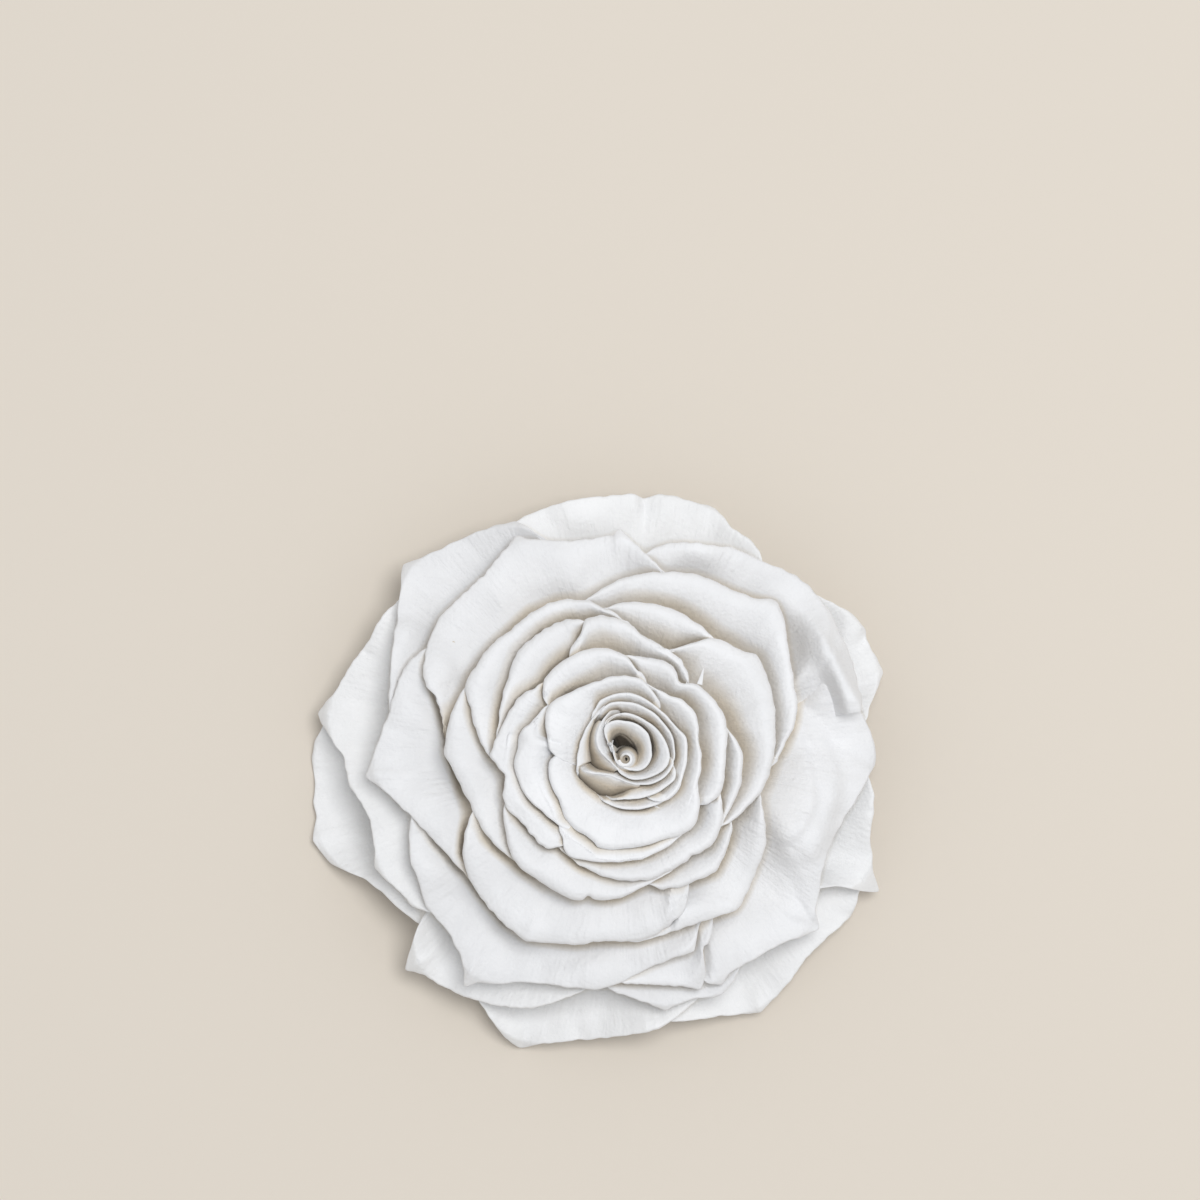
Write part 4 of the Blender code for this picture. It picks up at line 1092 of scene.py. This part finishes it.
def select_facing(piece, way):
    """Selects a piece's faces that look up (way 1) or down (way -1), ready for an edit."""
    bpy.ops.object.mode_set(mode="EDIT")
    bpy.ops.mesh.select_mode(type="FACE")
    bpy.ops.mesh.select_all(action="DESELECT")
    bpy.ops.object.mode_set(mode="OBJECT")
    for face in piece.data.polygons:
        face.select = way * face.normal.z > FACING
    bpy.ops.object.mode_set(mode="EDIT")


def raise_loops(loops):
    """Raises the selected face from loop to loop, each as (radius, height)."""
    for (radius, height), (next_radius, next_height) in zip(loops, loops[1:]):
        rise = (0.0, 0.0, MM * (next_height - height))
        bpy.ops.mesh.extrude_region_move(TRANSFORM_OT_translate={"value": rise})
        bpy.ops.transform.resize(value=(next_radius / radius, next_radius / radius, 1.0))


(foot_radius, foot_height), (waist_radius, waist_height) = CORE_LOOPS[:2]
bpy.ops.mesh.primitive_cone_add(vertices=CORE_SIDES, radius1=MM * foot_radius, radius2=MM * waist_radius,
                                depth=MM * (waist_height - foot_height),
                                location=(0.0, 0.0, MM * 0.5 * (foot_height + waist_height)))
core = bpy.context.object
core.name = "petal_bases"
bpy.ops.object.transform_apply(location=True)
select_facing(core, 1)
raise_loops(CORE_LOOPS[1:])
bpy.ops.object.mode_set(mode="OBJECT")
core_fold = core.data.attributes.new("fold", "FLOAT", "POINT")
core_fold.data.foreach_set("value", [CORE_CREAM] * len(core.data.vertices))
finish_petal_piece(core, white)


# The hip. It is the swollen green base under the bloom, ribbed a little, and narrows to a stub of the
# stem that is cut straight. The petals are set on top of it.
STUB_RADIUS = 3.1
HIP_LOOPS = ((3.1, 2.6), (3.35, 3.2), (3.7, 3.7), (4.7, 4.5), (5.6, 5.2), (6.1, 6.3), (6.2, 7.2),
             (6.1, 8.2), (5.8, 8.9), (5.2, 9.7), (4.4, 10.0))
HIP_SIDES = 80
HIP_RIBS = 10
RIB_DEPTH = 0.012
RIBS_FROM = 3.0
RIBS_OVER = 3.0
# The cut face of the stub has a rind, a groove inside it and a pith that lies a little deeper
CUT_INSETS = ((0.35, 0.0), (0.5, -0.12), (1.0, -0.05))
CALYX_SURFACE = {"Roughness": 0.78, "Specular IOR Level": 0.3}
DARK_GREEN = (0.15, 0.21, 0.075)
LIGHT_GREEN = (0.31, 0.37, 0.17)
DRY_BROWN = (0.32, 0.24, 0.12, 1.0)
DARK_UP_TO = 0.3
LIGHT_FROM = 0.72
MOTTLES = {"Scale": 420.0, "Detail": 5.0}
GRAIN = {"Scale": 2600.0, "Detail": 3.0}
GRAIN_RELIEF = {"Strength": 0.6, "Distance": 0.00015}


def calyx_material():
    """Dry green: mottled, browner where the surface is drier, with a fine grain."""
    material = bpy.data.materials.new("green_calyx")
    material.use_nodes = True
    tree = material.node_tree
    shader = tree.nodes["Principled BSDF"]
    for key, value in CALYX_SURFACE.items():
        shader.inputs[key].default_value = value
    place = tree.nodes.new("ShaderNodeTexCoord")
    mottles = add_node(tree, "TexNoise", MOTTLES, Vector=place.outputs["Object"])
    greens = add_node(tree, "ValToRGB", {}, Fac=mottles.outputs["Fac"])
    set_ramp(greens.color_ramp, (DARK_UP_TO, DARK_GREEN), (LIGHT_FROM, LIGHT_GREEN))
    dry = tree.nodes.new("ShaderNodeAttribute")
    dry.attribute_name = "dryness"
    blend = tree.nodes.new("ShaderNodeMix")
    blend.data_type = "RGBA"
    blend.inputs["B"].default_value = DRY_BROWN
    tree.links.new(dry.outputs["Fac"], blend.inputs["Factor"])
    tree.links.new(greens.outputs["Color"], blend.inputs["A"])
    tree.links.new(blend.outputs["Result"], shader.inputs["Base Color"])
    grain = add_node(tree, "TexNoise", GRAIN, Vector=place.outputs["Object"])
    relief = add_node(tree, "Bump", GRAIN_RELIEF, Height=grain.outputs["Fac"])
    tree.links.new(relief.outputs["Normal"], shader.inputs["Normal"])
    return material


def finish_calyx_piece(piece):
    piece.data.materials.append(calyx_green)
    bpy.ops.object.shade_smooth_by_angle(angle=SMOOTH_ANGLE)
    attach(piece, "root")
    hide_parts("calyx")
    bpy.ops.object.select_all(action="DESELECT")


calyx_green = calyx_material()
stub_length = HIP_LOOPS[0][1]
bpy.ops.mesh.primitive_cylinder_add(vertices=HIP_SIDES, radius=MM * STUB_RADIUS, depth=MM * stub_length,
                                    location=(0.0, 0.0, MM * 0.5 * stub_length))
hip = bpy.context.object
hip.name = "calyx_hip"
bpy.ops.object.transform_apply(location=True)
select_facing(hip, 1)
raise_loops(HIP_LOOPS)
bpy.ops.object.mode_set(mode="OBJECT")
select_facing(hip, -1)
for inset, depth in CUT_INSETS:
    bpy.ops.mesh.inset(thickness=MM * inset, depth=MM * depth)
bpy.ops.object.mode_set(mode="OBJECT")
for vertex in hip.data.vertices:
    lift = min(max((vertex.co.z / MM - RIBS_FROM) / RIBS_OVER, 0.0), 1.0)
    turn = math.atan2(vertex.co.y, vertex.co.x)
    swell = 1.0 - RIB_DEPTH * lift * (1.0 - math.cos(HIP_RIBS * turn))
    vertex.co.x *= swell
    vertex.co.y *= swell
finish_calyx_piece(hip)

# The sepals. Five narrow green blades grow from the hip's shoulder, hang outwards under the petals, and
# dry brown at their tips and edges. They are one shape, turned round the axis.
SEPAL_COUNT = 5
SEPAL_FIRST_BEARING = 20.0
SEPAL_THICKNESS = 0.5
SEPAL_ROOT = (4.5, 8.8)
SEPAL_LENGTH = 20.0
SEPAL_HALF_WIDTH = 3.3
SEPAL_TIP = 0.25
SEPAL_TAPER = 0.75
SEPAL_BELLY = 0.5
SEPAL_RISE = 2.0
SEPAL_FALL = 8.5
SEPAL_DROOP = 0.5
SEPAL_DROOP_CURVE = 1.5
# Small teeth along the edges past the root, the rib along the middle, and a ripple along the edges
TOOTH_WIDTH = 0.22
TOOTH_RATE = 26.0
TOOTH_FROM = 0.25
RIB_HEIGHT = 0.28
RIB_WIDTH = 0.3
RIB_FADE = 0.6
RIPPLE_HEIGHT = 0.12
RIPPLE_RATE = 17.0
# How dry the tip and the edges are, and how fast that comes on towards them
TIP_DRYNESS = 0.75
TIP_CURVE = 2.5
EDGE_DRYNESS = 0.35
EDGE_CURVE = 6
SEPAL_COLUMNS = 25
SEPAL_ROWS = 61


def sepal_place(across, along):
    """A point of the first sepal, straight along +X: across from -1 to 1, along from 0 to 1."""
    out = SEPAL_ROOT[0] + SEPAL_LENGTH * along
    taper = (1.0 - along) ** SEPAL_TAPER * (1.0 + SEPAL_BELLY * along)
    teeth = TOOTH_WIDTH * math.sin(along * TOOTH_RATE) ** 4 * (along > TOOTH_FROM) * (1.0 - along)
    half = SEPAL_HALF_WIDTH * taper + SEPAL_TIP + teeth
    rise = SEPAL_ROOT[1] + SEPAL_RISE * along - SEPAL_FALL * along ** 2
    droop = SEPAL_DROOP * abs(across) ** SEPAL_DROOP_CURVE * half / SEPAL_HALF_WIDTH
    rib = RIB_HEIGHT * math.exp(-((across * half / RIB_WIDTH) ** 2)) * (1.0 - RIB_FADE * along)
    ripple = RIPPLE_HEIGHT * math.sin(along * RIPPLE_RATE) * across * abs(across)
    return out, across * half, rise - droop - rib + ripple


bpy.ops.mesh.primitive_grid_add(x_subdivisions=SEPAL_ROWS - 1, y_subdivisions=SEPAL_COLUMNS - 1, size=2.0)
first_sepal = bpy.context.object
dryness = first_sepal.data.attributes.new("dryness", "FLOAT", "POINT")
for n, vertex in enumerate(first_sepal.data.vertices):
    along = 0.5 * (vertex.co.x + 1.0)
    across = vertex.co.y
    dry = TIP_DRYNESS * along ** TIP_CURVE + EDGE_DRYNESS * abs(across) ** EDGE_CURVE
    dryness.data[n].value = min(1.0, dry)
    vertex.co = [MM * value for value in sepal_place(across, along)]
thicken(first_sepal, SEPAL_THICKNESS, offset=-1.0)
sepals = [first_sepal]
for n in range(1, SEPAL_COUNT):
    bpy.ops.object.duplicate()
    sepals.append(bpy.context.object)
for n, sepal in enumerate(sepals):
    bpy.ops.object.select_all(action="DESELECT")
    sepal.select_set(True)
    bpy.context.view_layer.objects.active = sepal
    sepal.name = "sepal_" + str(n + 1)
    sepal.rotation_euler = (0.0, 0.0, math.radians(SEPAL_FIRST_BEARING + 360.0 * n / SEPAL_COUNT))
    bpy.ops.object.transform_apply(rotation=True)
    finish_calyx_piece(sepal)

# The floor. It is a plain, pale, matt sheet that the head rests on, large enough to fill the picture
# from every side.
FLOOR_SIZE = 4.0
FLOOR_COLOUR = (0.76, 0.70, 0.62, 1.0)
FLOOR_ROUGHNESS = 0.9
bpy.ops.mesh.primitive_plane_add(size=FLOOR_SIZE, location=(0.0, 0.0, 0.0))
floor = bpy.context.object
floor.name = "floor"
floor_paint = bpy.data.materials.new("pale_floor")
floor_paint.use_nodes = True
floor_paint.node_tree.nodes["Principled BSDF"].inputs["Base Color"].default_value = FLOOR_COLOUR
floor_paint.node_tree.nodes["Principled BSDF"].inputs["Roughness"].default_value = FLOOR_ROUGHNESS
floor.data.materials.append(floor_paint)

# The light. An even white studio surrounds the head, and one soft round lamp hangs nearly overhead, a
# little towards the upper right, so that the folds are shaded on their far side.
STUDIO_WHITE = (1.0, 1.0, 1.0, 1.0)
STUDIO_STRENGTH = 0.5
LAMP_PLACE = (0.15, 0.12, 1.0)
LAMP_AIM = (0.0, 0.0, 0.02)
LAMP_SIZE = 0.4
LAMP_WATTS = 5.3
world = bpy.data.worlds.new("soft_studio")
bpy.context.scene.world = world
world.use_nodes = True
world.node_tree.nodes["Background"].inputs["Color"].default_value = STUDIO_WHITE
world.node_tree.nodes["Background"].inputs["Strength"].default_value = STUDIO_STRENGTH
lamp_data = bpy.data.lights.new("key", "AREA")
lamp_data.shape = "DISK"
lamp_data.size = LAMP_SIZE
lamp_data.energy = LAMP_WATTS
lamp = bpy.data.objects.new("key", lamp_data)
lamp.location = LAMP_PLACE
lamp.rotation_euler = (Vector(LAMP_AIM) - Vector(LAMP_PLACE)).to_track_quat("-Z", "Y").to_euler()
bpy.context.scene.collection.objects.link(lamp)
bpy.context.scene.view_settings.view_transform = "Standard"

# The camera. It looks straight down on the open face, with the heart a little right of the picture's
# middle and well below it.
CAMERA_HEIGHT = 0.775
CAMERA_LENS = 150.0
CAMERA_SENSOR = 36.0
HEART_DISTANCE = 0.75
HEART_BELOW = 0.02355
HEART_RIGHT = 0.00375
camera_data = bpy.data.cameras.new("camera")
camera_data.lens = CAMERA_LENS
camera_data.sensor_width = CAMERA_SENSOR
camera = bpy.data.objects.new("camera", camera_data)
camera.location = (0.0, 0.0, CAMERA_HEIGHT)
tilt_up = math.atan2(HEART_BELOW, HEART_DISTANCE)
tilt_left = math.atan2(HEART_RIGHT, HEART_DISTANCE)
camera.rotation_euler = (tilt_up, tilt_left, 0.0)
bpy.context.scene.collection.objects.link(camera)
bpy.context.scene.camera = camera
